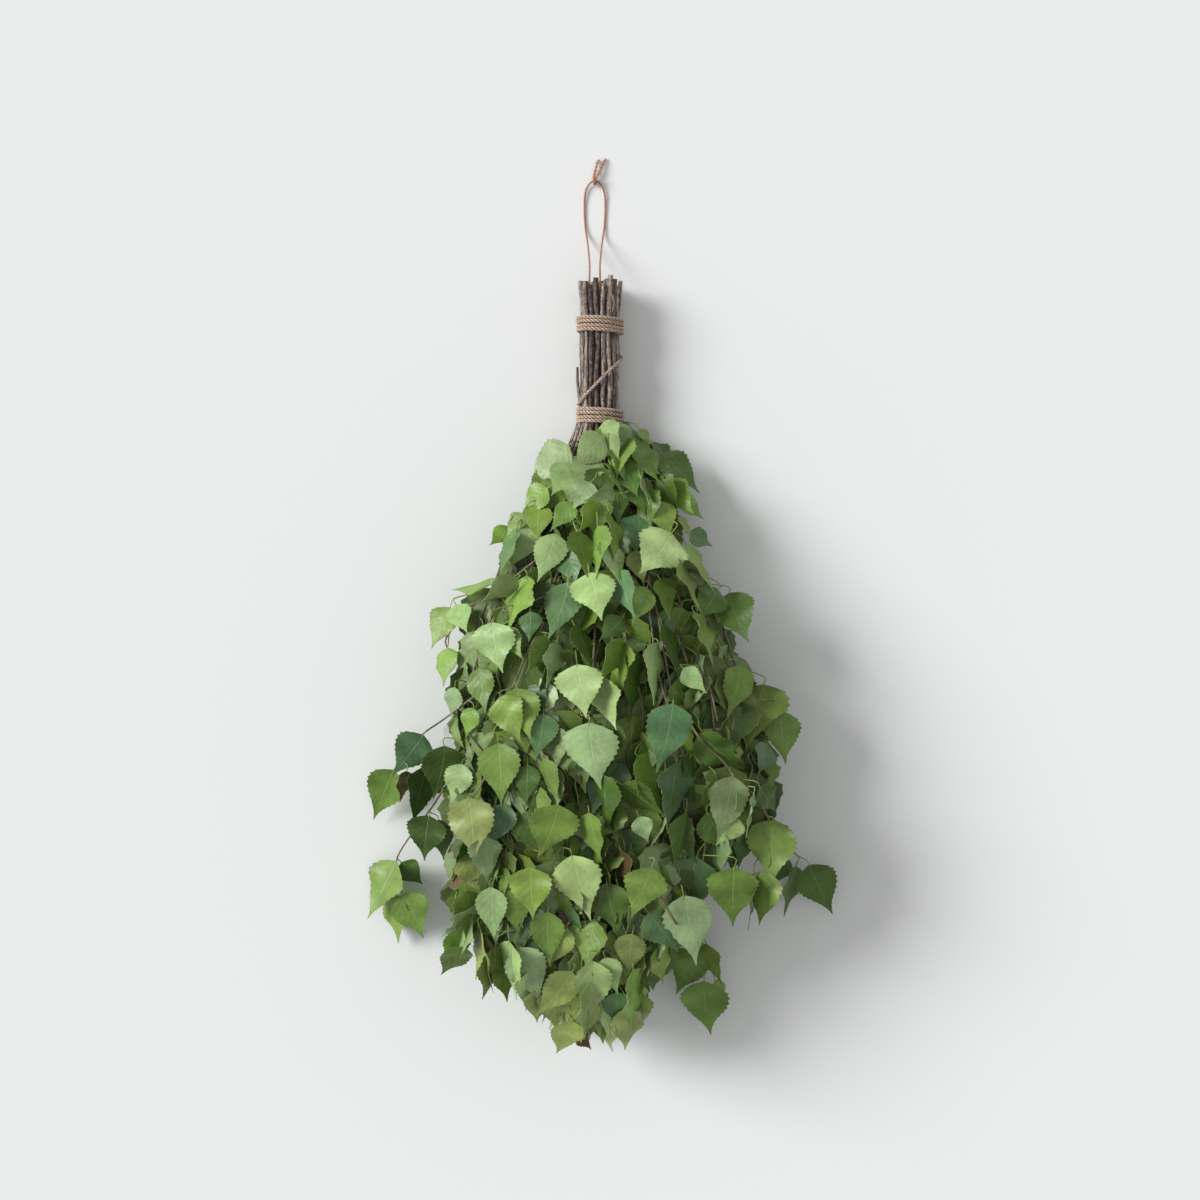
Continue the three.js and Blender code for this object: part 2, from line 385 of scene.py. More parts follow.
def leaf_material():
    """A birch leaf: soft green with paler midrib and side veins, puckered between them."""
    material, nodes, shader = new_material("birch_leaf")
    tint = nodes.attribute("leaf_tint", "Color")
    under, age, _ = nodes.split(nodes.attribute("leaf_kind", "Vector"))
    place = nodes.place()
    blade = nodes.split(nodes.add("ShaderNodeUVMap", uv_map="blade").outputs[0])
    across = nodes.math("ABSOLUTE", nodes.math("MULTIPLY_ADD", blade[0], 2.0, -1.0))
    base, mask = uneven(nodes, tint, place, 55.0, 0.2)
    slanted = nodes.math("SUBTRACT", nodes.times(blade[1], LEAF_VEINS), nodes.times(across, 1.9))
    off_rib = nodes.math("ABSOLUTE", nodes.math("SUBTRACT", nodes.math("FRACT", slanted), 0.5))
    side_vein = nodes.times(nodes.smooth(off_rib, 0.08, 0.0), nodes.smooth(across, 1.0, 0.55))
    midrib = nodes.smooth(across, 0.045, 0.012)
    pale = nodes.mix(0.55, tint, colour(205, 214, 150))
    base = nodes.mix(nodes.times(side_vein, 0.08), base, pale)
    base = nodes.mix(nodes.times(midrib, 0.26), base, pale)
    bleached = nodes.mix(0.5, base, colour(166, 186, 148))
    base = nodes.mix(nodes.times(under, 0.8), base, bleached)
    edge = nodes.times(nodes.smooth(across, 0.86, 1.0), nodes.math("MULTIPLY_ADD", age, 0.7, 0.16))
    base = nodes.mix(edge, base, colour(122, 104, 58))
    blotch_from = nodes.math("SUBTRACT", 0.86, nodes.times(age, 0.36))
    blotch = nodes.smooth(nodes.noise(place, 120.0, 4.0, 0.6), blotch_from, 0.9)
    base = nodes.mix(blotch, base, colour(98, 76, 48))
    pucker = nodes.times(nodes.smooth(off_rib, 0.0, 0.5), 0.45)
    fine = nodes.noise(place, 1500.0, 2.0)
    height = nodes.math("ADD", nodes.math("MULTIPLY_ADD", fine, 0.12, pucker), nodes.times(midrib, -0.7))
    nodes.fill(shader, {
        "Base Color": base,
        "Roughness": nodes.smooth(mask, 0.0, 1.0, 0.5, 0.4),
        "Specular IOR Level": 0.42,
        "Normal": nodes.bump(height, 0.00035, 0.5),
    })
    return material


def stalk_material():
    """Leaf stalks: yellow-green, browner in patches."""
    material, nodes, shader = new_material("leaf_stalk")
    place = nodes.place()
    base, mask = uneven(nodes, colour(136, 156, 84), place, 90.0, 0.3)
    base = nodes.mix(nodes.smooth(nodes.noise(place, 34.0), 0.5, 0.75), base, colour(128, 112, 76))
    nodes.fill(shader, {
        "Base Color": base,
        "Roughness": nodes.smooth(mask, 0.0, 1.0, 0.6, 0.5),
        "Specular IOR Level": 0.35,
    })
    return material


BARK = bark_material()
CUT_WOOD = cut_wood_material()
# Each twine's last colour is the painted shade in its grooves
JUTE = twine_material("jute_twine", colour(238, 212, 190), colour(164, 128, 106), colour(104, 74, 58))
LOOP_TWINE = twine_material("loop_twine", colour(236, 186, 152), colour(172, 120, 90), colour(166, 114, 86))
LEAF = leaf_material()
STALK = stalk_material()


# ---- Twine: plies wound round each other, with loose fibres


def across_line(line):
    """Two directions across a line at each of its points, turning as little as they can."""
    forward = np.gradient(line, axis=0)
    forward /= np.linalg.norm(forward, axis=1)[:, None]
    side = np.cross(forward[0], (0, 0, 1))
    if np.linalg.norm(side) < 0.1:
        side = np.cross(forward[0], (1, 0, 0))
    sides = []
    for direction in forward:
        side = unit(side - direction * side.dot(direction))
        sides.append(side)
    sides = np.array(sides)
    return sides, np.cross(forward, sides)


def plies_of(line, diameter, plies, twist):
    """The lines that the plies follow round a twine's middle line. Twist is the length of one turn."""
    sides, others = across_line(line)
    gone = distances(line)
    ply_radius = diameter / 2 * (0.5 if plies == 2 else 0.535)
    lines = []
    for ply in range(plies):
        turn = 2 * math.pi * (gone / twist + ply / plies)
        reach = diameter / 2 - ply_radius
        points = line + reach * (sides * np.cos(turn)[:, None] + others * np.sin(turn)[:, None])
        lines.append((points, ply_radius))
    return lines


FIBRE_RADII = (0.07 * MM, 0.06 * MM, 0.03 * MM)
LOWEST_FIBRE = 0.2 * MM


def fibres_of(line, diameter, count, reach, seed):
    """Short loose fibres that stand off a twine."""
    draw = random.Random(seed)
    sides, others = across_line(line)
    lines = []
    for _ in range(count):
        i = draw.randrange(1, len(line) - 2)
        turn = draw.uniform(0, 2 * math.pi)
        out = sides[i] * math.cos(turn) + others[i] * math.sin(turn)
        forward = unit(line[i + 1] - line[i - 1]) * draw.choice((-1, 1))
        length = reach * draw.uniform(0.5, 1.0)
        start = line[i] + out * diameter * 0.42
        middle = start + forward * length * 0.6 + out * length * draw.uniform(0.05, 0.35)
        end = middle + forward * length * draw.uniform(0.1, 0.5) + out * length * draw.uniform(0.0, 0.4)
        lines.append((np.maximum([start, middle, end], (-1, -1, LOWEST_FIBRE)), FIBRE_RADII))
    return lines


def mark_grooves(mesh, line, diameter):
    """Note on each point how deep it lies in the grooves between the plies, from 0 outside to 1, which sets
    the painted shade there.
    """
    tree = kdtree.KDTree(len(line))
    for i, place in enumerate(line):
        tree.insert(place, i)
    tree.balance()
    gaps = np.array([tree.find(vert.co)[2] for vert in mesh.vertices])
    depth = np.clip(2 * (1 - gaps / (diameter / 2)), 0, 1)
    mark_points(mesh, "groove", "FLOAT", depth)


def twine(name, line, diameter, material, plies, twist, seed, fibres=0.35, reach=4.5):
    """Twisted twine along a line of closely spaced points.

    Twist is the length of a turn in diameters, fibres how many there are in a millimetre, reach their length.
    """
    lines = plies_of(line, diameter, plies, twist * diameter)
    mesh = tube_mesh(name, lines, 1)
    mark_grooves(mesh, line, diameter)
    count = int(distances(line)[-1] / MM * fibres)
    hairs = tube_mesh(name + "_fibres", fibres_of(line, diameter, count, reach * MM, seed), 0)
    with shaping(mesh) as both:
        both.from_mesh(hairs)
    bpy.data.meshes.remove(hairs)
    mesh.shade_smooth()
    return new_object(name, mesh, [material])


# ---- Hanging loop, the one free cord

LOOP_DIAMETER = 1.8 * MM
LOOP_RING = 2
RING_PITCH = (HANDLE_RADIUS - TWIG_RADIUS) / MM / 3
LOOP_PLACES = {"left": 5 / 12, "right": 3 / 12}
LOOP_TOP = 78.0
LOOP_HALF_WIDTH = 8.2
LOOP_SHIFT = -4.0
KNOT_RADIUS = 2.5
KNOT_TWINE = 1.2
KNOT_HEIGHT = KNOT_RADIUS + KNOT_TWINE
LOOP_REST = 0.9


def loop_side(side, sign):
    """One side of the loop in millimetres beyond the cut ends, from inside the bundle to near its top."""
    turn = 2 * math.pi * LOOP_PLACES[side]
    inside = LOOP_RING * RING_PITCH * math.cos(turn)
    height = HANDLE_HEIGHT / MM + LOOP_RING * RING_PITCH * math.sin(turn)
    wide = LOOP_SHIFT + sign * LOOP_HALF_WIDTH
    middle = (inside + wide) / 2
    rows = [
        (-24, inside, height),
        (-14, inside, height),
        (-2, inside * 1.04, height),
        (8, inside * 1.02, height - 1),
        (20, middle * 0.4 + inside * 0.6, height * 0.55),
        (32, middle, 3.5),
        (43, wide * 0.7 + middle * 0.3, LOOP_REST),
        (57, wide, LOOP_REST),
        (68, LOOP_SHIFT + sign * LOOP_HALF_WIDTH * 0.93, LOOP_REST + 0.6),
        (75, LOOP_SHIFT + sign * LOOP_HALF_WIDTH * 0.6, 2.2),
    ]
    return [place_at(x, -beyond, z) for beyond, x, z in rows]


def make_loop():
    top = place_at(LOOP_SHIFT, -LOOP_TOP, KNOT_HEIGHT)
    route = loop_side("left", -1) + [top] + loop_side("right", 1)[::-1]
    line = smooth_line(route, 0.5 * MM)
    loop = twine("hanging_loop_twine", line, LOOP_DIAMETER, LOOP_TWINE,
                 plies=2, twist=2.6, fibres=0.5, reach=1.8, seed=3)
    finish_piece(loop, ["hanging_loop"])

    # The knot is two turns of the twine pulled tight, and its two ends trail from it, frayed with loose
    # fibres
    turns = []
    for t in np.linspace(0, 2.25, 60):
        angle = 2 * math.pi * t
        turns.append((top[0] + (t - 1.1) * 0.9 * MM,
                      top[1] + KNOT_RADIUS * MM * math.cos(angle) * (1 + 0.06 * math.sin(5 * t)),
                      top[2] + (KNOT_RADIUS - 0.1) * MM * math.sin(angle)))
    knot = twine("loop_knot_twine", resample(turns, 0.4 * MM), 2.1 * MM, LOOP_TWINE,
                 plies=2, twist=2.6, reach=3, seed=4)
    finish_piece(knot, ["loop_knot"])
    for node, start, end, length in (("loop_end_short", -1.3, 3.0, 12), ("loop_end_long", 1.3, 8.5, 13)):
        base_y = top[1] + (KNOT_RADIUS - 0.6) * MM
        points = [
            (top[0] + start * MM * 0.8, base_y, KNOT_HEIGHT * MM),
            (top[0] + (start + end) / 2 * MM, base_y + (0.5 * length + 2) * MM, (KNOT_HEIGHT - 1) * MM),
            (top[0] + end * MM, base_y + (length + 3) * MM, (LOOP_REST + 0.3) * MM),
        ]
        tail = twine(node + "_twine", smooth_line(points, 0.5 * MM), LOOP_DIAMETER, LOOP_TWINE,
                     plies=2, twist=3.4, fibres=3.0, seed=5)
        finish_piece(tail, [node])


make_loop()


# ---- Jute ties

TIE_TWINE = 2.6 * MM
TIE_PITCH = 3.1
TIE_TURNS = 4
TIE_WIDTH = TIE_TURNS * TIE_PITCH + 2.6
UPPER_TIE = 38.0
LOWER_TIE = 109.0
TIE_RADIUS = HANDLE_RADIUS + 0.3 * MM + TIE_TWINE / 2
# How much the turns wander, and how much lower they are on one side
TIE_WOBBLE = 0.45
TIE_SLOPE = 1.9
# How far along the strand gets on the front, and the share of its turn that takes it there
STRAND_TOP = 64.0
STRAND_FRONT = 0.625


def winding(radius, turns, turn_from, alongs, wobble=0.0, slope=0.0):
    """A line wound round the handle. Alongs gives (share of the way, along) rows."""
    line = []
    for t in np.linspace(0, 1, max(60, int(abs(turns) * 90))):
        angle = 2 * math.pi * (turn_from + t * turns)
        along = np.interp(t, *zip(*alongs)) + slope * math.cos(angle)
        wander = noise.noise((t * turns * 1.7, 3.1, radius * 900)) + 0.12 * math.sin(angle * 0.5 + 1)
        along += wobble * wander
        out = radius + 0.12 * MM * wobble * noise.noise((t * turns * 2.3, 8.0, 1.0))
        line.append((out * math.cos(angle), y_of(along), HANDLE_HEIGHT + out * math.sin(angle)))
    return resample(line, 0.55 * MM)


def make_ties():
    half = TIE_TURNS * TIE_PITCH / 2
    for name, middle, seed in (("tie_upper", UPPER_TIE, 11), ("tie_lower", LOWER_TIE, 12)):
        ends = [(0, middle - half), (1, middle + half)]
        line = winding(TIE_RADIUS, TIE_TURNS, -0.2, ends, TIE_WOBBLE, TIE_SLOPE)
        tie = twine(name + "_jute", line, TIE_TWINE * 1.12, JUTE, plies=3, twist=3.4, fibres=0.5, seed=seed)
        finish_piece(tie, [name])
    beside = TIE_WIDTH / 2 + 2.4
    low = LOWER_TIE - beside
    # It crosses the front in the first part of its turn, then goes up behind to the upper tie
    rows = []
    for part in range(9):
        eased = (1 - math.cos(math.pi * part / 8)) / 2
        rows.append((STRAND_FRONT * part / 8, low + (STRAND_TOP - low) * eased))
    rows.append((1, UPPER_TIE + beside))
    line = winding(HANDLE_RADIUS + 1.5 * MM, -0.8, 0.5, rows)
    strand = twine("tie_strand_jute", line, 2.3 * MM, JUTE, plies=3, twist=4.0, fibres=0.4, seed=13)
    finish_piece(strand, ["tie_strand"])
    curl = [(9.5, 29, 15.6), (10.5, 20, 15.4), (7, 11, 17.4), (4.5, 4, 18.4)]
    line = smooth_line([place_at(x, along, HANDLE_HEIGHT / MM + z) for x, along, z in curl], 0.4 * MM)
    loose = twine("tie_loose_end_jute", line, 1.1 * MM, JUTE, plies=2, twist=4.0, fibres=0.6, seed=14)
    finish_piece(loose, ["tie_loose_end"])


make_ties()


# ---- The crown: where twigs and leaves go

# Along, half width, half height, height of the middle, x of the middle
CROWN = np.array([
    (138.9, 30, 19, 19.7, 0),
    (150, 54, 24, 22, 3),
    (175, 68, 34, 31, 3),
    (215, 84, 44, 40, 0),
    (265, 108, 53, 48, -3),
    (320, 124, 58, 52, 2),
    (400, 129, 59, 53, 10),
    (460, 129, 55, 49, 6),
    (520, 126, 48, 43, -4),
    (560, 120, 40, 36, -10),
    (600, 114, 28, 25, -14),
], float)
# X, and how far along the leaves hang there
HEM = np.array([
    (-135, 440), (-112, 505), (-85, 522), (-60, 548), (-34, 584), (-8, 597), (14, 588), (34, 558),
    (52, 526), (70, 494), (84, 466), (110, 452), (126, 440), (140, 425),
], float)
# How far along, and the leftmost and rightmost x that the leaves reach there
OUTLINE = np.array([
    (113, -24, 26), (130, -44, 46), (150, -58, 70), (175, -66, 78), (215, -86, 90), (265, -112, 113),
    (320, -120, 134), (360, -114, 140), (400, -113, 142), (440, -113, 132), (470, -113, 112), (500, -118, 78),
    (520, -116, 68), (560, -60, 36), (605, -30, 14),
], float)

# Gaps between the clumps of leaves, where the inside shows: x, along, half width and half length
GAPS = np.array([
    (-3, 290, 21, 22), (-62, 430, 9, 26), (-34, 436, 9, 24), (68, 434, 13, 18), (6, 497, 8, 16),
    (48, 300, 8, 26),
], float)
# Half the width and the height of the crown at its widest
WIDEST = (129.0, 59.0)


def crown(along):
    return between(along, CROWN[:, 0], CROWN[:, 1:])


def hem(x):
    return np.interp(x, *HEM.T)


def inside_outline(place, margin):
    """Whether a place is in the outline of the crown, this far in from its sides."""
    x, along = place[0] / MM, (HALF_LENGTH - place[1]) / MM
    left, right = between(along, OUTLINE[:, 0], OUTLINE[:, 1:])
    return left + margin < x < right - margin and along < hem(x) + 5


def in_gap(place):
    x, along = place[0] / MM, (HALF_LENGTH - place[1]) / MM
    return (((x - GAPS[:, 0]) / GAPS[:, 2]) ** 2 + ((along - GAPS[:, 1]) / GAPS[:, 3]) ** 2 < 1).any()


def even_angles(count, offset):
    """Angles that are evenly spaced round the edge of the crown at its widest."""
    turn = np.linspace(0, 2 * math.pi, 721)
    gone = distances(np.column_stack([WIDEST[0] * np.cos(turn), WIDEST[1] * np.sin(turn)]))
    return np.interp((np.arange(count) + offset) / count * gone[-1], gone, turn)


def crown_point(along, angle, depth):
    """A place in the crown at an angle round its middle, this far under its surface."""
    half_width, half_height, height, middle = crown(along)
    depth = min(depth, 0.6 * half_height)
    x = middle + (half_width - depth) * math.cos(angle)
    return place_at(x, along, height + (half_height - depth) * math.sin(angle))


def outward(along, angle):
    """The direction out of the crown's surface."""
    half_width, half_height, _, _ = crown(along)
    return unit((math.cos(angle) / half_width, 0, math.sin(angle) / half_height))


# ---- Leaves

LEAF_THICKNESS = 0.3 * MM
RIPPLES = 2.2
# How far out and in from the outline the teeth go, and how far a tooth leans towards the tip
TOOTH_OUT = 1.05
TOOTH_IN = 0.95
TOOTH_LEAN = 0.3
# A leaf this near the floor is eased onto it
NEAR_FLOOR = 4 * MM
ON_FLOOR = 0.4 * MM

TINTS = {
    "sage": (144, 170, 113),
    "mid": (108, 138, 58),
    "deep": (72, 102, 38),
    "lime": (116, 146, 62),
    "blue": (84, 119, 72),
    "olive": (134, 151, 84),
    "brown": (90, 70, 44),
}
# How far along the blade, and half its width there
BLADE = np.array([
    (0, 0.02), (0.03, 0.26), (0.08, 0.6), (0.15, 0.85), (0.23, 0.98), (0.32, 1.0), (0.42, 0.92), (0.52, 0.77),
    (0.62, 0.56), (0.72, 0.34), (0.82, 0.17), (0.91, 0.07), (1, 0.015),
])


class Blade:
    """A flat leaf of one grid and its underside: x across from -1 to 1, y along from 0 to 1."""

    def __init__(self, name, rows, columns):
        self.rows = rows
        self.mesh = bpy.data.meshes.new(name)
        with shaping(self.mesh) as made:
            made.loops.layers.uv.new("blade")
            bmesh.ops.create_grid(made, x_segments=columns, y_segments=rows, size=1, calc_uvs=True)
            for vert in made.verts:
                vert.co.y = (vert.co.y + 1) / 2
            bmesh.ops.solidify(made, geom=list(made.faces), thickness=1.0)
            if made.calc_volume(signed=True) < 0:
                bmesh.ops.reverse_faces(made, faces=made.faces)
            for face in made.faces:
                face.smooth = True
            for edge in made.edges:
                on_rim = any(abs(face.normal.z) < 0.5 for face in edge.link_faces)
                edge.smooth = not on_rim
        places = np.array([vert.co[:] for vert in self.mesh.vertices])
        self.across = places[:, 0]
        self.along = np.clip(places[:, 1], 0, 1)
        self.under = (places[:, 2] < places[:, 2].mean()).astype(float)


FINE_BLADE = Blade("fine_blade", 24, 4)
PLAIN_BLADE = Blade("plain_blade", 12, 2)


def blade_places(leaf, across, v, spread):
    """Where points of a leaf's upper side go: across from -1 to 1, v along from 0 to 1."""
    half = np.interp(v, *BLADE.T) * spread * leaf["broad"] / 2
    # The blade is folded up along its midrib, droops at its edges, curls at its tip and ripples
    fold = leaf["fold"] * (1 - 0.35 * v)
    x = across * half * np.cos(fold)
    z = np.abs(across) * half * np.sin(fold)
    z -= leaf["droop"] * across**2 * half
    wave = np.sin(2 * math.pi * (v * RIPPLES + leaf["phase"]))
    z += leaf["ripple"] * wave * across**2 * np.sign(across + 1e-9) * half
    bend = leaf["curl"]
    y = v - bend**2 * v**3 / 6
    z -= bend * v**2 / 2
    x = x + leaf["sway"] * v**2
    way, face = leaf["way"], leaf["face"]
    axes = np.array([np.cross(way, face), way, face])
    return leaf["base"] + np.column_stack([x, y, z]) * leaf["length"] @ axes


def leaf_shape(leaf):
    """Where the points of one leaf go, with its toothed edge and its underside."""
    blade = leaf["blade"]
    row = np.round(blade.along * blade.rows)
    on_edge = (np.abs(blade.across) > 0.99) & (blade.along > 0.02) & (blade.along < 0.98)
    is_tooth = (row % 2 == 1) & on_edge
    v = np.clip(blade.along + np.where(is_tooth, TOOTH_LEAN, 0.0) / blade.rows, 0, 1)
    spread = np.where(on_edge, np.where(is_tooth, TOOTH_OUT, TOOTH_IN), 1.0)
    placed = blade_places(leaf, blade.across, v, spread)
    placed -= leaf["face"] * (blade.under * LEAF_THICKNESS)[:, None]
    near = placed[:, 2] < NEAR_FLOOR
    eased = np.exp((placed[near, 2] - NEAR_FLOOR) / NEAR_FLOOR)
    placed[near, 2] = ON_FLOOR + (NEAR_FLOOR - ON_FLOOR) * eased
    return placed


def leaves_object(name, leaves):
    made = bmesh.new()
    for leaf in leaves:
        made.from_mesh(leaf["blade"].mesh)
    mesh = bpy.data.meshes.new(name)
    made.to_mesh(mesh)
    made.free()
    mesh.vertices.foreach_set("co", np.concatenate([leaf_shape(leaf) for leaf in leaves]).ravel())
    tints = np.concatenate([np.tile(leaf["tint"], (len(leaf["blade"].along), 1)) for leaf in leaves])
    kinds = []
    for leaf in leaves:
        under = leaf["blade"].under
        kinds.append(np.column_stack([under, np.full(len(under), leaf["age"]), under * 0]))
    mark_points(mesh, "leaf_tint", "FLOAT_COLOR", tints)
    mark_points(mesh, "leaf_kind", "FLOAT_VECTOR", np.concatenate(kinds))
    mesh.update()
    return new_object(name, mesh, [LEAF])


def turned(vector, axis, angle):
    return np.array(Matrix.Rotation(angle, 3, Vector(axis)) @ Vector(vector))


def make_leaf(base, way, face, length, tint, draw, roll=None, age=None):
    """A leaf's facts. Base is where its stalk ends, way points to its tip and face out of its upper side."""
    way = unit(way)
    face = unit(np.asarray(face) - way * np.dot(face, way))
    if roll is None:
        roll = draw.gauss(0, math.radians(25))
        if draw.random() < 0.22:
            roll += draw.choice((-1, 1)) * math.radians(draw.uniform(30, 60))
    face = turned(face, way, roll)
    lift = draw.uniform(0.9, 1.1)
    red, green, blue = (part * lift for part in TINTS[tint])
    shade = colour(red * draw.uniform(0.97, 1.03), green, blue * draw.uniform(0.92, 1.06))
    return {
        "blade": PLAIN_BLADE,
        "base": np.asarray(base, float), "way": way, "face": face, "length": length * MM,
        "broad": draw.uniform(0.8, 0.97), "fold": math.radians(draw.uniform(2, 24)),
        "droop": draw.uniform(0.0, 0.22), "ripple": draw.uniform(0.02, 0.12), "phase": draw.random(),
        "curl": draw.uniform(-0.15, 0.6), "sway": draw.uniform(-0.08, 0.08),
        "tint": shade, "age": draw.uniform(0, 0.35) if age is None else age,
    }


def shade_leaf(leaf, factor):
    leaf["tint"] = (*(part * factor for part in leaf["tint"][:3]), 1)


# Leaves this deep under the crown's surface are smaller, and darker as painted shade, and the tail's are
# smaller too
DEEP = 18
TAIL_FROM = 500


def tint_at(along, x, depth, draw):
    """Which green a leaf is: darker deeper inside and on the right, as painted shade, and paler and more
    olive at the tail.
    """
    weights = {"sage": 1.6, "mid": 3.2, "deep": 1.6, "lime": 0.8, "blue": 0.7, "olive": 0.1, "brown": 0.0}
    # Painted shade: leaves deep inside the crown lean to the darker greens
    if depth > DEEP:
        weights.update(sage=0.3, mid=1.8, deep=3.4, blue=1.2, brown=0.2)
    if along > 480:
        weights.update(sage=2.6, mid=2.0, deep=0.4, lime=0.8, olive=2.6, brown=0.12)
    # Painted shade: on the right, away from the light, more leaves are deep green, and some more are lime
    if x > 60 and along > 250:
        weights["deep"] += 1.5
        weights["lime"] += 0.6
    return draw.choices(list(weights), list(weights.values()))[0]


# ---- Twigs, from their cut ends into the crown

TWIGS = sorted(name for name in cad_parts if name.startswith("twig_"))
BARK_ROUGHNESS = 0.13


def slices_of(node, digits):
    """The slices of a solid across Y, from the leaf tips on: y, the lowest and the highest corner."""
    places = np.array([vert.co[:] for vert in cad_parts[node].data.vertices])
    for y in sorted(set(np.round(places[:, 1], digits))):
        ring = places[np.abs(places[:, 1] - y) < 2 * 0.1**digits]
        yield y, ring.min(0), ring.max(0)


def twig_rings(name):
    """The middle and radius of a solid twig at each of its rings, from its cut end on."""
    rows = [(*((low + high) / 2), (high[2] - low[2]) / 2) for _, low, high in slices_of(name, 5)]
    return np.array(rows[::-1])


def handle_line(name, draw):
    """A twig's middle line and radius through the handle, a little bent, with swellings at its old buds."""
    rings = twig_rings(name)
    ys = np.arange(rings[0, 1], rings[-1, 1], -2 * MM)
    x, _, z, radii = between(-ys, -rings[:, 1], rings).T
    seed = draw.uniform(0, 100)
    bend = np.array([(noise.noise((y * 30, seed, 0)), noise.noise((y * 30, seed, 9))) for y in ys])
    bend *= 2.0 * MM
    alongs = (HALF_LENGTH - ys) / MM
    held = sum(np.exp(-(((alongs - tie) / 9) ** 2)) for tie in (UPPER_TIE, LOWER_TIE))
    bend *= (1 - 0.7 * held)[:, None]
    points = np.column_stack([x + bend[:, 0], ys, z + bend[:, 1]])
    radii = radii * draw.uniform(0.84, 1.06)
    radii = radii * np.array([1 + 0.12 * noise.noise((y * 70, seed, 4)) for y in ys])
    at = ys[0] - draw.uniform(8, 25) * MM
    while at > ys[-1]:
        radii = radii * (1 + 0.16 * np.exp(-(((ys - at) / (1.8 * MM)) ** 2)))
        at -= draw.uniform(22, 40) * MM
    return points, radii


def shoot_line(start, angle, depth, draw, from_along=LEAVES_START):
    """A shoot's line from a point at the neck or on another shoot to the hem of the crown."""
    end_x = crown_point(500, angle, depth)[0] / MM
    end = max(hem(end_x) - draw.uniform(44, 62), from_along + 80)
    alongs = np.arange(from_along, end, 8.0)
    seed = draw.uniform(0, 100)
    points = []
    for along in alongs:
        eased = min(1.0, (along - from_along) / 85.0)
        eased = eased * eased * (3 - 2 * eased)
        target = crown_point(along, angle, depth)
        aside, up = (noise.noise((along / 60, seed, which)) for which in (1, 5))
        here = np.array((start[0], y_of(along), start[2]))
        points.append(here + (target + 7 * MM * np.array((aside, 0, up)) - here) * eased)
    points = np.array(points)
    points[:, 2] = np.maximum(points[:, 2], LOWEST_SHOOT)
    return alongs, points


CROWN_TOP = 120.5 * MM
# Painted shade on the leaves behind the front ones: how much darker than the front leaves they are: along,
# and the factor there
UPPER_SHADE = [(180, 0.88), (260, 0.78), (450, 0.78), (520, 1.1)]
# Painted shade: leaves over a gap, where the inside shows, are darker again
GAP_SHADE = 0.55
GAP_DEPTH = 20


class Pile:
    """How high and how low the leaves laid here reach, in square cells seen from above."""

    CELL = 3 * MM
    CELLS = (160, 200)
    CORNER = np.array((-0.24, -0.35))
    # How far over the leaves below it a leaf is laid, and how far under those above it one is tucked
    LAID = 0.6 * MM
    TUCKED = 1.2 * MM
    MOST_TUCKED = 14 * MM

    def __init__(self):
        self.top = np.zeros(self.CELLS)
        self.underside = np.full(self.CELLS, np.inf)
        across, along = np.meshgrid(np.linspace(-1.05, 1.05, 17), np.linspace(0, 0.98, 19))
        self.across, self.along = across.ravel(), along.ravel()

    def cells_at(self, places):
        cells = ((places[:, :2] - self.CORNER) / self.CELL).astype(int)
        return cells[:, 0], cells[:, 1]

    def places_on(self, leaf):
        places = blade_places(leaf, self.across, self.along, 1.0)
        return places, self.cells_at(places)

    def raise_to(self, places):
        np.maximum.at(self.top, self.cells_at(places), places[:, 2])

    def height_under(self, line):
        return evened(self.top[self.cells_at(line)], 3)

    def lay(self, leaf, most):
        """Lift a leaf until it lies on the ones below it, but by no more than this."""
        places, cells = self.places_on(leaf)
        lack = self.top[cells] + self.LAID - places[:, 2]
        rise = min(max(lack.max(), 0), most * MM, CROWN_TOP - places[:, 2].max())
        leaf["base"] = leaf["base"] + np.array((0, 0, rise))
        places[:, 2] += rise
        self.raise_to(places)
        np.minimum.at(self.underside, cells, places[:, 2])

    def tuck(self, leaf):
        """Lower a leaf until it is under every leaf laid here, and say whether it had to move."""
        places, cells = self.places_on(leaf)
        excess = (places[:, 2] - self.underside[cells]).max() + self.TUCKED
        if excess > 0:
            leaf["base"] = leaf["base"] - np.array((0, 0, min(excess, self.MOST_TUCKED)))
        return excess > 0


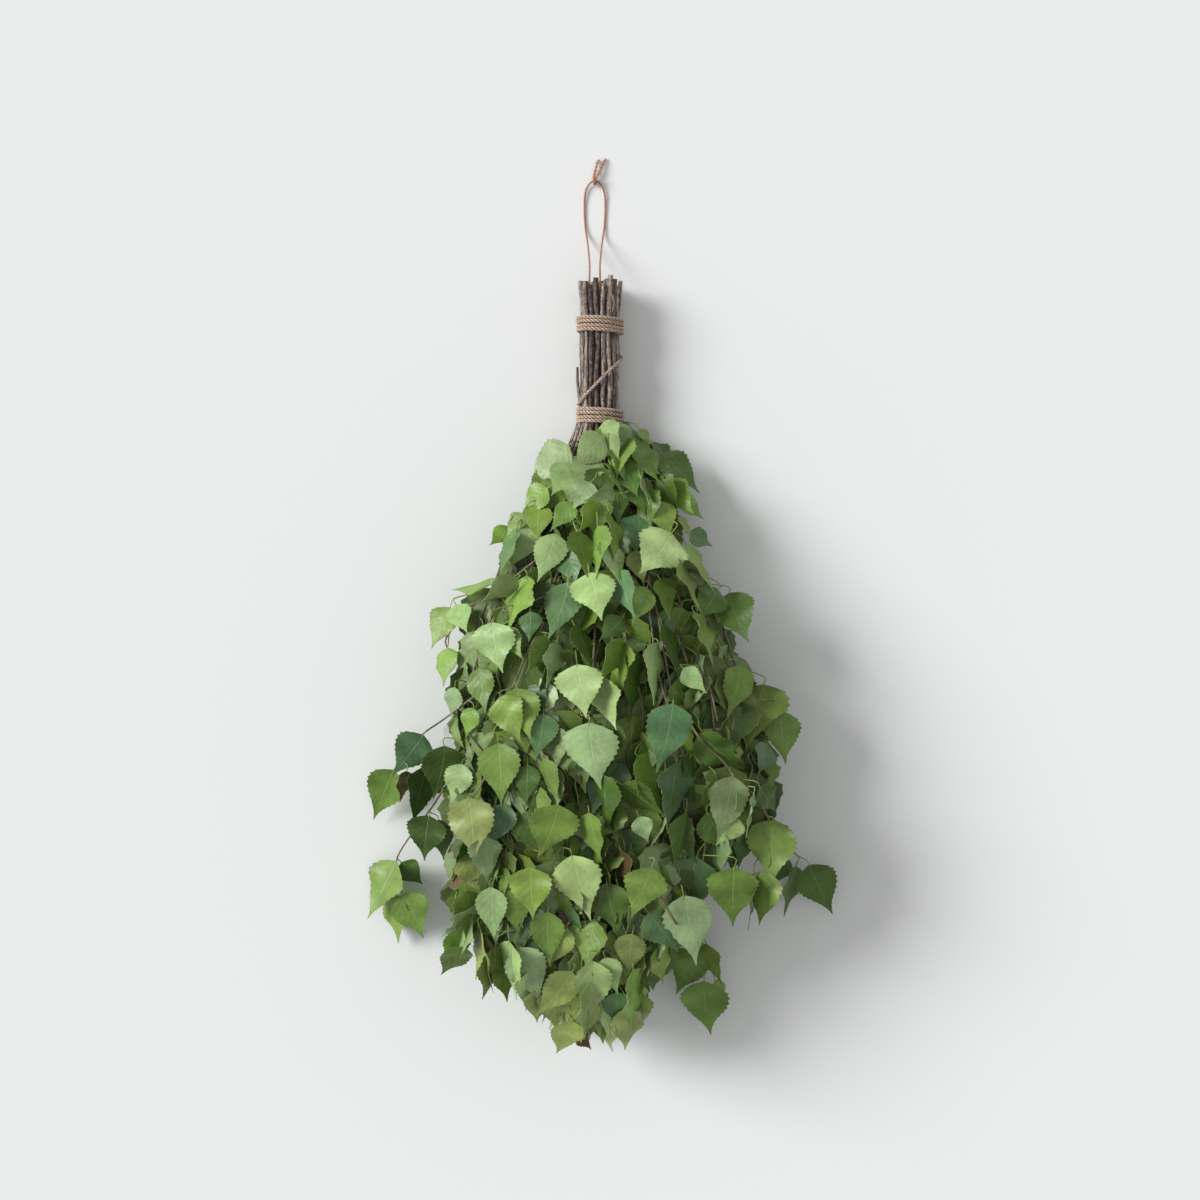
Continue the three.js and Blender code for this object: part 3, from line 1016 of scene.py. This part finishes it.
class Shoots:
    """Every shoot in the crown, with the leaves and stalks that it carries."""

    def __init__(self):
        self.leaves = []
        self.stalks = []
        self.points = []
        self.upper = []
        self.pile = Pile()
        self.front = Pile()

    def lay_upper_leaves(self):
        """Lay the leaves on the upper side, from the deepest out and from the tips back to the handle."""
        for points in self.points:
            self.pile.raise_to(points)
        self.upper.sort(key=lambda entry: (-round(entry[0] / 8), entry[2]["base"][1]))
        for _, _, leaf, _ in self.upper:
            self.pile.lay(leaf, 5)

    def tuck_upper_leaves(self):
        """Nothing pokes through the leaves in front. Then each upper leaf gets its stalk."""
        for _, start, leaf, bow in self.upper:
            moved = self.front.tuck(leaf)
            self.hang(start, leaf, bow * (0 if moved else 1))

    def hang(self, start, leaf, bow):
        """Keep a leaf, and give it a stalk that comes from its shoot and ends in line with the blade."""
        self.leaves.append(leaf)
        base = leaf["base"]
        reach = np.linalg.norm(base - start)
        points = [start, start + bow * reach * 0.25, base - leaf["way"] * reach * 0.3, base,
                  base + leaf["way"] * 0.06 * leaf["length"] - leaf["face"] * 0.3 * MM]
        line = smooth_line(points, 3.2 * MM)
        line[:, 2] = np.maximum(line[:, 2], LOWEST_STALK)
        self.stalks.append((line, np.linspace(0.5, 0.4, len(line)) * MM))

    def clothe(self, alongs, points, angle, depth, spacing, draw):
        """Put leaves all along a shoot, in pairs and singly, hanging towards the hem."""
        at = alongs[0] + draw.uniform(0, spacing)
        hand = draw.choice((-1, 1))
        while at < alongs[-1]:
            half_width, half_height, _, _ = crown(at)
            room = (half_width + half_height) / sum(WIDEST)
            if draw.random() < 0.6 + 0.4 * room:
                self.leaf_at(alongs, points, at, angle, depth, hand, draw)
                if draw.random() < 0.35:
                    self.leaf_at(alongs, points, at + 3, angle, depth, -hand, draw)
            hand = -hand
            at += spacing * draw.uniform(0.75, 1.25)
        for side in (-1, 0, 1):
            self.leaf_at(alongs, points, alongs[-1], angle, depth, side, draw)

    def leaf_at(self, alongs, points, along, angle, depth, hand, draw):
        start = between(along, alongs, points)
        out = outward(along, angle)
        facing_up = math.sin(angle) > -0.25
        face = out + np.array((0, 0, 0.75 if facing_up else -0.2))
        sideways = unit(np.cross(out, (0, 1, 0)))
        aside = sideways * hand * draw.uniform(0.0, 0.6)
        way = unit(np.array((0, -1, 0)) + aside + out * draw.gauss(-0.02, 0.16))
        off = draw.uniform(-1, 5) if facing_up else draw.uniform(4, 10)
        base = (start + out * off * MM + way * draw.uniform(7, 13) * MM
                + sideways * hand * draw.uniform(2, 8) * MM)
        length = draw.uniform(36, 49) * (0.86 if along > TAIL_FROM else 1.0) * (0.9 if depth > DEEP else 1.0)
        tint = tint_at(along, start[0] / MM, depth, draw)
        leaf = make_leaf(base, way, face, length, tint, draw)
        reach = way * length * MM
        if not inside_outline(base + 0.35 * reach, 9) or not inside_outline(base + reach, -3):
            return
        if facing_up:
            over_gap = in_gap(base + 0.4 * reach)
            if over_gap and depth < GAP_DEPTH:
                return
            # Painted shade on the leaves behind the front ones, darker again over a gap
            shade_leaf(leaf, np.interp(along, *zip(*UPPER_SHADE)) * (GAP_SHADE if over_gap else 1))
            self.upper.append((depth, start, leaf, unit(out + way)))
        else:
            self.hang(start, leaf, unit(out + way))


def make_twigs(shoots):
    """Each twig is one piece: its bark through the handle, and its shoots through the crown."""
    centre = np.array((0, HANDLE_HEIGHT))
    order = {"outer": [], "middle": [], "inner": []}
    lines = {}
    for name in TWIGS:
        draw = random.Random(name)
        points, radii = handle_line(name, draw)
        lines[name] = (points, radii, draw)
        halfway = points[len(points) // 2][[0, 2]] - centre
        reach = np.linalg.norm(halfway) / HANDLE_RADIUS
        ring = "outer" if reach > 0.7 else "middle" if reach > 0.4 else "inner"
        order[ring].append((math.atan2(halfway[1], halfway[0]) % (2 * math.pi), name))
    # How deep its shoots lie under the crown's surface, how many each twig has, and their leaves' spacing
    plans = {"outer": (16.0, 2, 15.0), "middle": (27.0, 1, 19.0), "inner": (39.0, 1, 30.0)}
    for ring, members in order.items():
        depth, forks, spacing = plans[ring]
        members.sort()
        angles = even_angles(len(members) * forks, 0.25)
        for number, (_, name) in enumerate(members):
            points, radii, draw = lines[name]
            shoots.points.append(points[-15:])
            tubes = []
            for fork in range(forks):
                angle = angles[number * forks + fork]
                if fork == 0:
                    alongs, line = shoot_line(points[-1], angle, depth, draw)
                    whole = np.vstack([points, line[1:]])
                    thin = np.linspace(radii[-1], 0.55 * MM, len(line))[1:]
                    tubes.append((whole, np.concatenate([radii, thin])))
                    trunk = (alongs, line)
                else:
                    begin = draw.uniform(150, 185)
                    start = between(begin, *trunk)
                    alongs, line = shoot_line(start, angle, depth, draw, begin)
                    tubes.append((line, np.linspace(1.3 * MM, 0.5 * MM, len(line))))
                shoots.points.append(line)
                shoots.clothe(alongs, line, angle, depth, spacing, draw)
            finish_twig(name, tubes, draw)


def finish_twig(name, tubes, draw):
    mesh = tube_mesh(name + "_bark", tubes, 4)
    main = tubes[0][0]
    count = len(mesh.vertices)
    places = np.empty(count * 3)
    mesh.vertices.foreach_get("co", places)
    places = places.reshape(-1, 3)
    handle = places[:, 1] > y_of(LEAVES_START + 4)
    out = places[:, [0, 2]] - between(-places[:, 1], -main[:, 1], main[:, [0, 2]])
    rough = np.array([noise.noise((x * 900, y * 260, z * 900)) for x, y, z in places])
    places[:, [0, 2]] += out * (rough * BARK_ROUGHNESS * handle)[:, None]
    mesh.vertices.foreach_set("co", places.ravel())
    mark_points(mesh, "twig_tone", "FLOAT", np.full(count, draw.random()))
    mark_points(mesh, "cut_place", "FLOAT_VECTOR", np.column_stack([out / TWIG_RADIUS, np.zeros(count)]))
    obj = new_object(name + "_bark", mesh, [BARK, CUT_WOOD])
    for face in mesh.polygons:
        if face.normal.y > 0.9 and face.center.y > main[0, 1] - 0.5 * MM:
            face.material_index = 1
    mesh.update()
    finish_piece(obj, [name])


shoots = Shoots()
make_twigs(shoots)


# ---- The leaves that show most, each where it hangs

# Stalk's end: x and along. Tip: x and along. How fully it faces up, tint, and height over its neighbours
FRONT_LEAVES = {
    "neck": [
        (6, 120, -7, 144, 0.65, "mid", 0), (14, 136, 22, 164, 0.6, "mid", -2),
        (-6, 141, -14, 168, 0.8, "sage", -1), (2, 150, -3, 180, 0.7, "deep", -2),
        (18, 147, 28, 174, 0.7, "deep", -3), (-15, 152, -25, 180, 0.8, "sage", -1),
        (35, 141, 47, 170, 0.7, "mid", -3), (-35, 151, -54, 178, 0.8, "mid", -3),
        (10, 162, 20, 192, 0.7, "deep", -4), (-4, 174, 2, 204, 0.8, "mid", -3),
        (12, 116, 24, 143, 0.65, "sage", 3), (28, 132, 41, 161, 0.7, "mid", 2),
        (30, 118, 46, 141, 0.6, "mid", 1), (38, 128, 62, 150, 0.6, "deep", 0),
        (40, 146, 66, 174, 0.5, "deep", -2), (52, 160, 68, 188, 0.6, "mid", -3),
        (4, 113, 14, 146, 0.55, "sage", 4), (20, 127, 10, 157, 0.55, "mid", 4),
        (17, 118, 36, 124, 0.5, "blue", 0), (26, 125, 37, 151, 0.7, "mid", 1),
        (3, 126, -23, 148, 0.78, "sage", 8), (-24, 132, -60, 161, 0.8, "sage", 5),
        (-20, 148, -39, 171, 0.9, "sage", 2), (-7, 162, -22, 181, 0.8, "sage", 5),
        (12, 171, -12, 175, 0.5, "sage", 8), (48, 137, 77, 167, 0.75, "deep", 3),
        (26, 157, 38, 185, 0.65, "deep", -3), (45, 157, 59, 183, 0.5, "deep", 2),
        (31, 157, 38, 181, 0.4, "sage", 4), (8, 148, 16, 172, 0.5, "mid", 1),
        (-30, 160, -48, 184, 0.8, "mid", -2),
    ],
    "shoulders": [
        (-40, 166, -63, 183, 0.8, "mid", 0), (-59, 185, -73, 203, 0.7, "mid", 0),
        (-34, 201, -42, 238, 0.7, "sage", 3), (-2, 196, 0, 234, 0.4, "lime", 9),
        (-17, 200, -7, 234, 0.6, "mid", 4), (8, 206, 12, 239, 0.6, "sage", 5),
        (7, 186, 12, 222, 0.3, "lime", 7), (29, 186, 31, 214, 1.0, "blue", -4),
        (54, 201, 35, 233, 0.95, "sage", 9), (60, 188, 71, 205, 0.6, "mid", 2),
        (69, 199, 85, 212, 0.7, "blue", 0), (65, 208, 88, 245, 0.5, "mid", 3),
        (61, 220, 72, 260, 0.45, "mid", 6), (26, 214, 35, 239, 0.7, "olive", 0),
        (-25, 214, -16, 240, 0.8, "blue", -2), (-64, 199, -77, 232, 0.6, "blue", 1),
        (-70, 195, -82, 212, 0.6, "lime", 0), (-46, 178, -52, 205, 0.8, "mid", 0),
        (-20, 178, -38, 198, 0.7, "mid", 1), (-2, 178, -14, 202, 0.5, "lime", 2),
        (63, 172, 78, 190, 0.7, "mid", 0), (44, 176, 52, 206, 0.7, "mid", -2),
        (36, 168, 40, 196, 0.6, "deep", -3), (-52, 196, -64, 226, 0.8, "sage", 0),
    ],
    "upper": [
        (-8, 231, 0, 265, 1.0, "sage", 8), (-24, 238, -32, 282, 0.65, "blue", 3),
        (15, 229, 19, 265, 0.5, "blue", 2), (35, 242, 23, 268, 0.7, "mid", 2),
        (-80, 238, -112, 244, 0.5, "lime", 2), (-62, 235, -87, 255, 0.4, "sage", 4),
        (-55, 233, -73, 275, 0.55, "mid", 2), (-81, 268, -79, 305, 0.95, "sage", 8),
        (-71, 272, -61, 297, 0.7, "mid", 3), (-115, 257, -131, 287, 0.85, "lime", 3),
        (-110, 255, -105, 275, 0.7, "sage", 4), (-117, 288, -120, 316, 0.75, "lime", 3),
        (-52, 260, -52, 282, 0.8, "blue", 0), (-39, 279, -52, 308, 0.5, "lime", 3),
        (-32, 283, -37, 316, 0.35, "sage", 5), (17, 264, 3, 284, 0.8, "deep", -2),
        (-19, 270, -3, 301, 0.4, "deep", 2), (17, 280, 3, 313, 0.5, "mid", 5),
        (46, 269, 59, 308, 0.4, "deep", 2), (99, 246, 105, 284, 0.55, "deep", 1),
        (90, 243, 78, 264, 0.8, "deep", 0), (71, 261, 86, 301, 0.45, "mid", 5),
        (45, 236, 52, 266, 0.6, "mid", 1), (62, 302, 80, 320, 0.6, "sage", 6),
        (43, 283, 38, 328, 0.4, "sage", 6), (27, 289, 25, 342, 0.35, "deep", 4),
        (-17, 299, -13, 338, 0.95, "sage", 9), (2, 309, 7, 348, 0.6, "sage", 7),
    ],
    "left": [
        (-109, 317, -114, 342, 0.75, "sage", 3), (-95, 332, -101, 355, 0.75, "mid", 1),
        (-92, 303, -84, 335, 0.7, "mid", 0), (-74, 323, -58, 356, 0.85, "lime", 6),
        (-62, 317, -57, 355, 0.9, "mid", 3), (-42, 336, -45, 370, 0.8, "blue", 1),
        (-76, 358, -72, 404, 0.8, "mid", 8), (-104, 375, -111, 406, 0.8, "sage", 4),
        (-98, 399, -93, 446, 0.8, "olive", 9), (-87, 428, -84, 463, 0.6, "sage", 5),
        (-70, 404, -80, 437, 0.7, "blue", -3), (-54, 374, -55, 404, 0.7, "deep", 0),
        (-42, 369, -35, 402, 0.5, "mid", 4), (-31, 403, -39, 444, 0.95, "mid", 9),
        (-8, 409, -2, 447, 0.55, "lime", 5), (-8, 342, -7, 391, 0.85, "sage", 7),
        (-118, 362, -121, 402, 0.6, "deep", 0),
    ],
    "right": [
        (18, 283, 10, 328, 0.4, "mid", 4), (2, 381, 6, 422, 0.6, "deep", 3),
        (54, 328, 47, 379, 0.75, "blue", 8), (28, 367, 60, 414, 0.6, "lime", 8),
        (57, 372, 50, 421, 0.6, "blue", -2), (106, 301, 102, 339, 0.75, "mid", 4),
        (125, 316, 118, 359, 0.6, "mid", 4), (139, 336, 137, 376, 0.75, "lime", 3),
        (127, 361, 121, 383, 0.95, "blue", 0), (73, 351, 108, 379, 0.6, "deep", 0),
        (99, 383, 90, 432, 0.7, "sage", 8), (115, 394, 108, 428, 0.4, "sage", 10),
        (120, 392, 133, 413, 0.9, "deep", 2), (131, 417, 125, 466, 0.6, "lime", 5),
        (103, 414, 90, 436, 0.8, "sage", 3), (16, 388, 48, 411, 0.6, "deep", 3),
        (29, 412, 36, 432, 0.8, "sage", 5), (64, 410, 58, 450, 0.6, "deep", -2),
        (80, 410, 96, 446, 0.7, "deep", 0),
    ],
    "lower": [
        (-52, 450, -51, 489, 0.95, "lime", 10), (-21, 441, -8, 489, 0.8, "sage", 8),
        (38, 449, 24, 487, 0.85, "lime", 9), (62, 471, 73, 525, 0.7, "sage", 7),
        (36, 484, 59, 515, 0.75, "blue", 4), (100, 451, 97, 496, 0.9, "mid", 6),
        (117, 460, 112, 502, 0.35, "deep", 4), (126, 456, 119, 498, 0.3, "lime", 5),
        (-103, 444, -87, 472, 0.6, "olive", 2), (-103, 458, -121, 471, 0.6, "brown", 1),
        (-82, 466, -80, 507, 0.65, "sage", 5), (-66, 463, -58, 504, 0.65, "mid", 4),
        (-68, 506, -65, 552, 0.5, "sage", 6), (-61, 511, -43, 555, 0.7, "sage", 8),
        (-39, 484, -42, 525, 0.7, "mid", 6), (-25, 496, -41, 527, 0.65, "olive", 5),
        (-103, 513, -121, 537, 0.6, "mid", 1), (-92, 479, -119, 512, 0.3, "sage", 3),
        (-90, 498, -87, 547, 0.4, "olive", 2), (-100, 470, -96, 508, 0.5, "mid", 0),
        (-96, 490, -108, 522, 0.6, "sage", 0), (-104, 500, -112, 530, 0.6, "mid", -1),
        (-86, 505, -92, 540, 0.6, "olive", -1), (-78, 512, -82, 552, 0.5, "mid", 0),
        (-108, 486, -101, 520, 0.5, "deep", -2), (-74, 520, -70, 556, 0.6, "mid", -2),
        (5, 462, 10, 503, 0.8, "deep", 2), (15, 437, 22, 466, 0.5, "brown", 3),
        (24, 500, 18, 532, 0.75, "olive", 3),
    ],
    "hem": [
        (-21, 529, -42, 567, 0.65, "olive", 4), (-21, 569, -31, 600, 0.75, "olive", 4),
        (-6, 535, -10, 586, 0.5, "sage", 6), (-17, 579, -6, 595, 0.5, "brown", 0),
        (-6, 520, -1, 568, 0.65, "sage", 8), (4, 518, 12, 548, 0.65, "sage", 5),
        (20, 559, 20, 593, 0.75, "olive", 3), (12, 546, 14, 576, 0.7, "blue", 2),
        (25, 528, 29, 577, 0.45, "mid", 2), (44, 512, 50, 542, 0.6, "mid", 1),
        (-34, 544, -38, 580, 0.7, "olive", 2), (-44, 540, -50, 575, 0.6, "olive", 0),
        (-30, 555, -35, 590, 0.6, "sage", 0), (0, 560, 2, 597, 0.6, "olive", 0),
        (8, 548, 2, 584, 0.7, "sage", 0), (-12, 548, -16, 586, 0.7, "olive", 0),
        (28, 545, 30, 580, 0.6, "olive", -2), (-50, 528, -56, 562, 0.6, "sage", 0),
    ],
    "loose left": [
        (-137, 356, -160, 388, 0.85, "blue", 4), (-161, 384, -180, 422, 0.8, "mid", 0),
        (-133, 379, -151, 423, 0.6, "deep", 2), (-133, 419, -141, 454, 0.9, "deep", 3),
        (-126, 423, -119, 455, 0.7, "deep", 0), (-150, 384, -154, 408, 0.5, "brown", 5),
    ],
    "loose low left": [
        (-159, 455, -179, 500, 0.6, "mid", 3), (-155, 456, -139, 474, 0.9, "deep", 0),
        (-153, 479, -136, 514, 0.8, "mid", 3), (-162, 481, -154, 519, 0.6, "mid", 0),
    ],
    "loose right": [
        (163, 458, 181, 497, 0.8, "deep", 3), (153, 459, 142, 498, 0.4, "deep", 0),
        (144, 450, 131, 473, 0.8, "deep", 0),
    ],
    "loose low right": [
        (75, 524, 60, 560, 0.8, "mid", 0), (81, 548, 80, 589, 0.95, "mid", 3),
        (82, 518, 90, 552, 0.45, "mid", 2), (90, 548, 98, 568, 0.5, "lime", 0),
    ],
}
LOOSE_HEIGHT = 15.0
# How far under the crown's surface a leaf starts before it is laid on the others
SUNK = 6
# A leaf that faces up less than this is turned about its midrib, and otherwise it is only narrower
FACING = 0.65
# How much paler than the rest the leaves are at the top and at the hem
PALER = {"neck": 1.06, "shoulders": 1.08, "upper": 1.08, "hem": 1.12}

# The stems that fan out from the lower tie: x, along and height over the leaves for each point
NECK_TWIGS = [
    [(-15.5, 110, -16), (-19, 120, -13), (-24, 131, -10), (-30, 146, -9)],
    [(-13.5, 110, -9), (-17, 120, -8), (-21, 131, -7), (-27, 146, -7)],
    [(-11, 110, -6), (-14, 120, -5), (-18, 131, -4), (-23, 146, -4)],
    [(-8.5, 110, -4), (-11, 120, -3), (-14, 131, -2), (-18, 146, -3)],
    [(-5.5, 110, -3), (-7, 120, -2), (-9, 131, -1), (-12, 146, -3)],
    [(15, 110, -14), (19, 121, -12), (26, 132, -10), (37, 146, -10)],
    [(12.5, 110, -8), (15.5, 121, -7), (20, 133, -6), (28, 148, -6)],
    [(-14.5, 110, -22), (-19, 121, -24), (-26, 133, -24), (-36, 150, -24)],
    [(14.5, 110, -22), (19, 121, -24), (26, 133, -24), (36, 150, -24)],
]

# Thin side twigs that show between the leaves: x, along and height over the leaves for each point
SIDE_TWIGS = [
    [(-92, 322, -6), (-108, 334, -12), (-124, 346, -20), (-137, 355, 2), (-150, 368, -2), (-161, 384, 1)],
    [(-104, 376, -10), (-121, 398, -20), (-131, 413, 2), (-147, 434, 1), (-158, 452, 2), (-160, 468, 0)],
    [(118, 400, -4), (134, 428, -8), (147, 444, 4), (154, 451, 3)],
    [(44, 470, -6), (58, 494, -4), (70, 508, 2), (79, 518, 3), (84, 534, 1)],
    [(36, 232, -4), (43, 262, 3), (48, 292, 6), (54, 326, 7)],
    [(32, 236, -4), (38, 268, 2), (42, 300, 4), (50, 330, 2)],
    [(60, 330, 0), (74, 354, 6), (92, 372, 8), (104, 388, 9), (114, 396, 8)],
    [(-36, 212, -2), (-57, 228, 4), (-80, 246, 4), (-100, 256, 2), (-112, 262, 0)],
    [(-42, 268, -4), (-54, 290, 3), (-66, 318, 2)],
    [(72, 300, 0), (82, 318, 6), (88, 342, 4)],
    [(-98, 350, -4), (-84, 372, 5), (-90, 392, 6), (-97, 400, 6)],
    [(-110, 268, 0), (-120, 282, 1), (-117, 290, 2)],
]


def surface_height(x, along):
    """How high the top of the crown is, in millimetres."""
    half_width, half_height, height, middle = crown(along)
    aside = min(1.0, abs(x - middle) / half_width)
    return height + half_height * math.sqrt(1 - aside**2)


def front_point(x, along, lift, loose=False):
    height = LOOSE_HEIGHT if loose else surface_height(x, along) - SUNK
    return place_at(x, along, height + 0.7 * lift)


def surface_face(x, along):
    """A direction between straight up and straight out of the crown."""
    step = 6.0
    slope_x = (surface_height(x + step, along) - surface_height(x - step, along)) / (2 * step)
    slope_y = (surface_height(x, along - step) - surface_height(x, along + step)) / (2 * step)
    return unit((-0.5 * max(-1.2, min(1.2, slope_x)), -0.5 * slope_y, 1))


def nearest_shoot(place, everywhere):
    """The point on a shoot that a leaf's stalk comes from, on the handle's side of the leaf."""
    gap = everywhere - place
    too_low = np.where(gap[:, 1] < 2 * MM, 30 * MM, 0)
    too_high = np.where(gap[:, 2] > 0, 10 * MM, 0)
    return everywhere[np.argmin(np.linalg.norm(gap, axis=1) + too_low + too_high)]


TAIL_LEAVES = 70


def make_tail_leaves(shoots):
    """Leaves inside the tail, which close the space between its upper side and its underside."""
    draw = random.Random(19)
    everywhere = np.vstack(shoots.points)
    for _ in range(TAIL_LEAVES):
        x = draw.uniform(-100, 76)
        along = hem(x) - draw.uniform(34, 90)
        _, half_height, height, _ = crown(along)
        base = place_at(x, along, height + half_height * draw.uniform(-0.5, 0.62))
        way = unit((draw.gauss(0, 0.25), -1, draw.gauss(-0.05, 0.3)))
        length = draw.uniform(33, 43)
        leaf = make_leaf(base, way, (draw.gauss(0, 0.4), 0, 1), length, tint_at(along, x, 0, draw), draw)
        if inside_outline(base, 6) and inside_outline(base + way * length * MM, 0):
            shoots.hang(nearest_shoot(base, everywhere), leaf, np.zeros(3))


def make_front_leaves(shoots):
    draw = random.Random(7)
    everywhere = np.vstack(shoots.points)
    leaves = []
    for region, rows in FRONT_LEAVES.items():
        loose = region.startswith("loose")
        for base_x, base_along, tip_x, tip_along, facing, tint, lift in rows:
            base = front_point(base_x, base_along, lift, loose)
            tip = front_point(tip_x, tip_along, lift + (-3 if loose else 3), loose)
            face = np.array((0, 0, 1.0)) if loose else surface_face(base_x, (base_along + tip_along) / 2)
            roll = draw.uniform(-0.2, 0.2)
            if facing < FACING:
                roll = math.acos(facing / 0.85) * draw.choice((-1, 1))
            way = tip - base
            age = {"olive": 0.35, "brown": 1.0}.get(tint, draw.uniform(0, 0.25))
            leaf = make_leaf(base, way, face, np.linalg.norm(way) / MM * 1.02, tint, draw, roll, age)
            leaf["broad"] = (facing if facing >= FACING else 0.82) * draw.uniform(0.9, 1.0)
            leaf["curl"] = draw.uniform(-0.1, 0.3)
            leaf["sway"] = draw.uniform(-0.17, 0.17)
            leaf["ripple"] = draw.uniform(0.05, 0.17)
            leaf["fold"] *= 0.8
            leaf["blade"] = FINE_BLADE
            shade_leaf(leaf, PALER.get(region, 1.0) ** 2.2)
            leaves.append((lift - 0.01 * base_along, leaf))
    leaves.sort(key=lambda entry: entry[0])
    for _, leaf in leaves:
        shoots.front.lay(leaf, 9)
        shoots.hang(nearest_shoot(leaf["base"], everywhere), leaf, unit(leaf["face"] - leaf["way"] * 0.3))


def make_side_twigs():
    lines = []
    in_neck = [(twig, 1.7, 1.1) for twig in NECK_TWIGS]
    for points, thick, thin in in_neck + [(twig, 0.98, 0.55) for twig in SIDE_TWIGS]:
        places = []
        for x, along, lift in points:
            half_width, _, _, middle = crown(along)
            loose = abs(x - middle) > half_width + 2 or lift > 0 and along > TAIL_FROM
            places.append(front_point(x, along, lift, loose))
        line = smooth_line(places, 3 * MM)
        line[:, 2] = np.maximum(line[:, 2], LOWEST_TWIG)
        if thick < 1.5:
            line[:, 2] = evened(line[:, 2], 5)
            over_leaves = shoots.pile.height_under(line) + 1 * MM
            line[:, 2] = np.minimum(np.maximum(line[:, 2], over_leaves), CROWN_TOP)
            shoots.front.raise_to(line)
        lines.append((line, np.linspace(thick, thin, len(line)) * MM))
        shoots.points.append(line)
    # A thin dead stub stands off the left of the handle
    stub = [place_at(x, along, HANDLE_HEIGHT / MM) for x, along in ((-17.6, 70), (-17.2, 84), (-15, 102))]
    stub = smooth_line(stub, 2 * MM)
    lines.append((stub, np.linspace(0.9, 1.5, len(stub)) * MM))
    mesh = tube_mesh("side_twigs", lines, 2)
    mark_points(mesh, "twig_tone", "FLOAT", np.full(len(mesh.vertices), 0.6))
    finish_piece(new_object("side_twigs", mesh, [BARK]))


make_tail_leaves(shoots)
shoots.lay_upper_leaves()
make_side_twigs()
make_front_leaves(shoots)
shoots.tuck_upper_leaves()


# ---- Leaves and stalks, one piece of each for every spray

SPRAYS = sorted(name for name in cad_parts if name.startswith("spray_"))


def spray_line(name):
    """A spray's solid as its middle and half size, across and up, at each of its slices."""
    ys, lows, highs = map(np.array, zip(*slices_of(name, 4)))
    lows, highs = lows[:, [0, 2]], highs[:, [0, 2]]
    return ys, (lows + highs) / 2, (highs - lows) / 2


def spray_of(place):
    """The spray whose solid a place is in or nearest to."""
    best = None
    for name, (ys, mids, halves) in SPRAY_LINES.items():
        if not ys[0] - 20 * MM <= place[1] <= ys[-1] + 60 * MM:
            continue
        gap = 0
        for axis, column in ((0, 0), (2, 1)):
            middle = np.interp(place[1], ys, mids[:, column])
            half = max(np.interp(place[1], ys, halves[:, column]), 4 * MM)
            gap += ((place[axis] - middle) / half) ** 2
        if best is None or gap < best[0]:
            best = (gap, name)
    return best[1]


SPRAY_LINES = {name: spray_line(name) for name in SPRAYS}


def share_out(leaves, stalks):
    """The leaves of each spray, with their stalks."""
    shared = {name: ([], []) for name in SPRAYS}
    for leaf, stalk in zip(leaves, stalks):
        spray = spray_of(leaf["base"] + leaf["way"] * leaf["length"] * 0.4)
        shared[spray][0].append(leaf)
        shared[spray][1].append(stalk)
    return shared


for spray, (leaves, stalks) in share_out(shoots.leaves, shoots.stalks).items():
    if not leaves:
        continue
    label = spray.replace("spray_", "")
    finish_piece(leaves_object(f"leaves_{label}", leaves), [spray])
    stems = tube_mesh(f"stalks_{label}", stalks, 0)
    finish_piece(new_object(f"stalks_{label}", stems, [STALK]), [spray])


# ---- Floor and light


FLOOR_COLOUR = (0.86, 0.875, 0.868, 1)
SUN_AIM = (1.65, -0.65, -1)
SUN_STRENGTH = 3.2
SUN_ANGLE = 0.46
SKY_STRENGTH = 0.47


def make_floor():
    mesh = bpy.data.meshes.new("floor")
    with shaping(mesh) as made:
        bmesh.ops.create_grid(made, x_segments=1, y_segments=1, size=4)
    material, nodes, shader = new_material("pale_floor")
    nodes.fill(shader, {"Base Color": FLOOR_COLOUR, "Roughness": 0.9, "Specular IOR Level": 0.1})
    new_object("floor", mesh, [material])


def make_light():
    data = bpy.data.lights.new("window", "SUN")
    data.energy = SUN_STRENGTH
    data.angle = SUN_ANGLE
    window = linked("window", data)
    window.rotation_euler = Vector(SUN_AIM).to_track_quat("-Z", "Y").to_euler()
    world = bpy.data.worlds.new("studio")
    world.use_nodes = True
    background = world.node_tree.nodes["Background"]
    background.inputs["Color"].default_value = (1, 1, 1, 1)
    background.inputs["Strength"].default_value = SKY_STRENGTH
    bpy.context.scene.world = world
    bpy.context.scene.view_settings.view_transform = "Standard"


make_floor()
make_light()
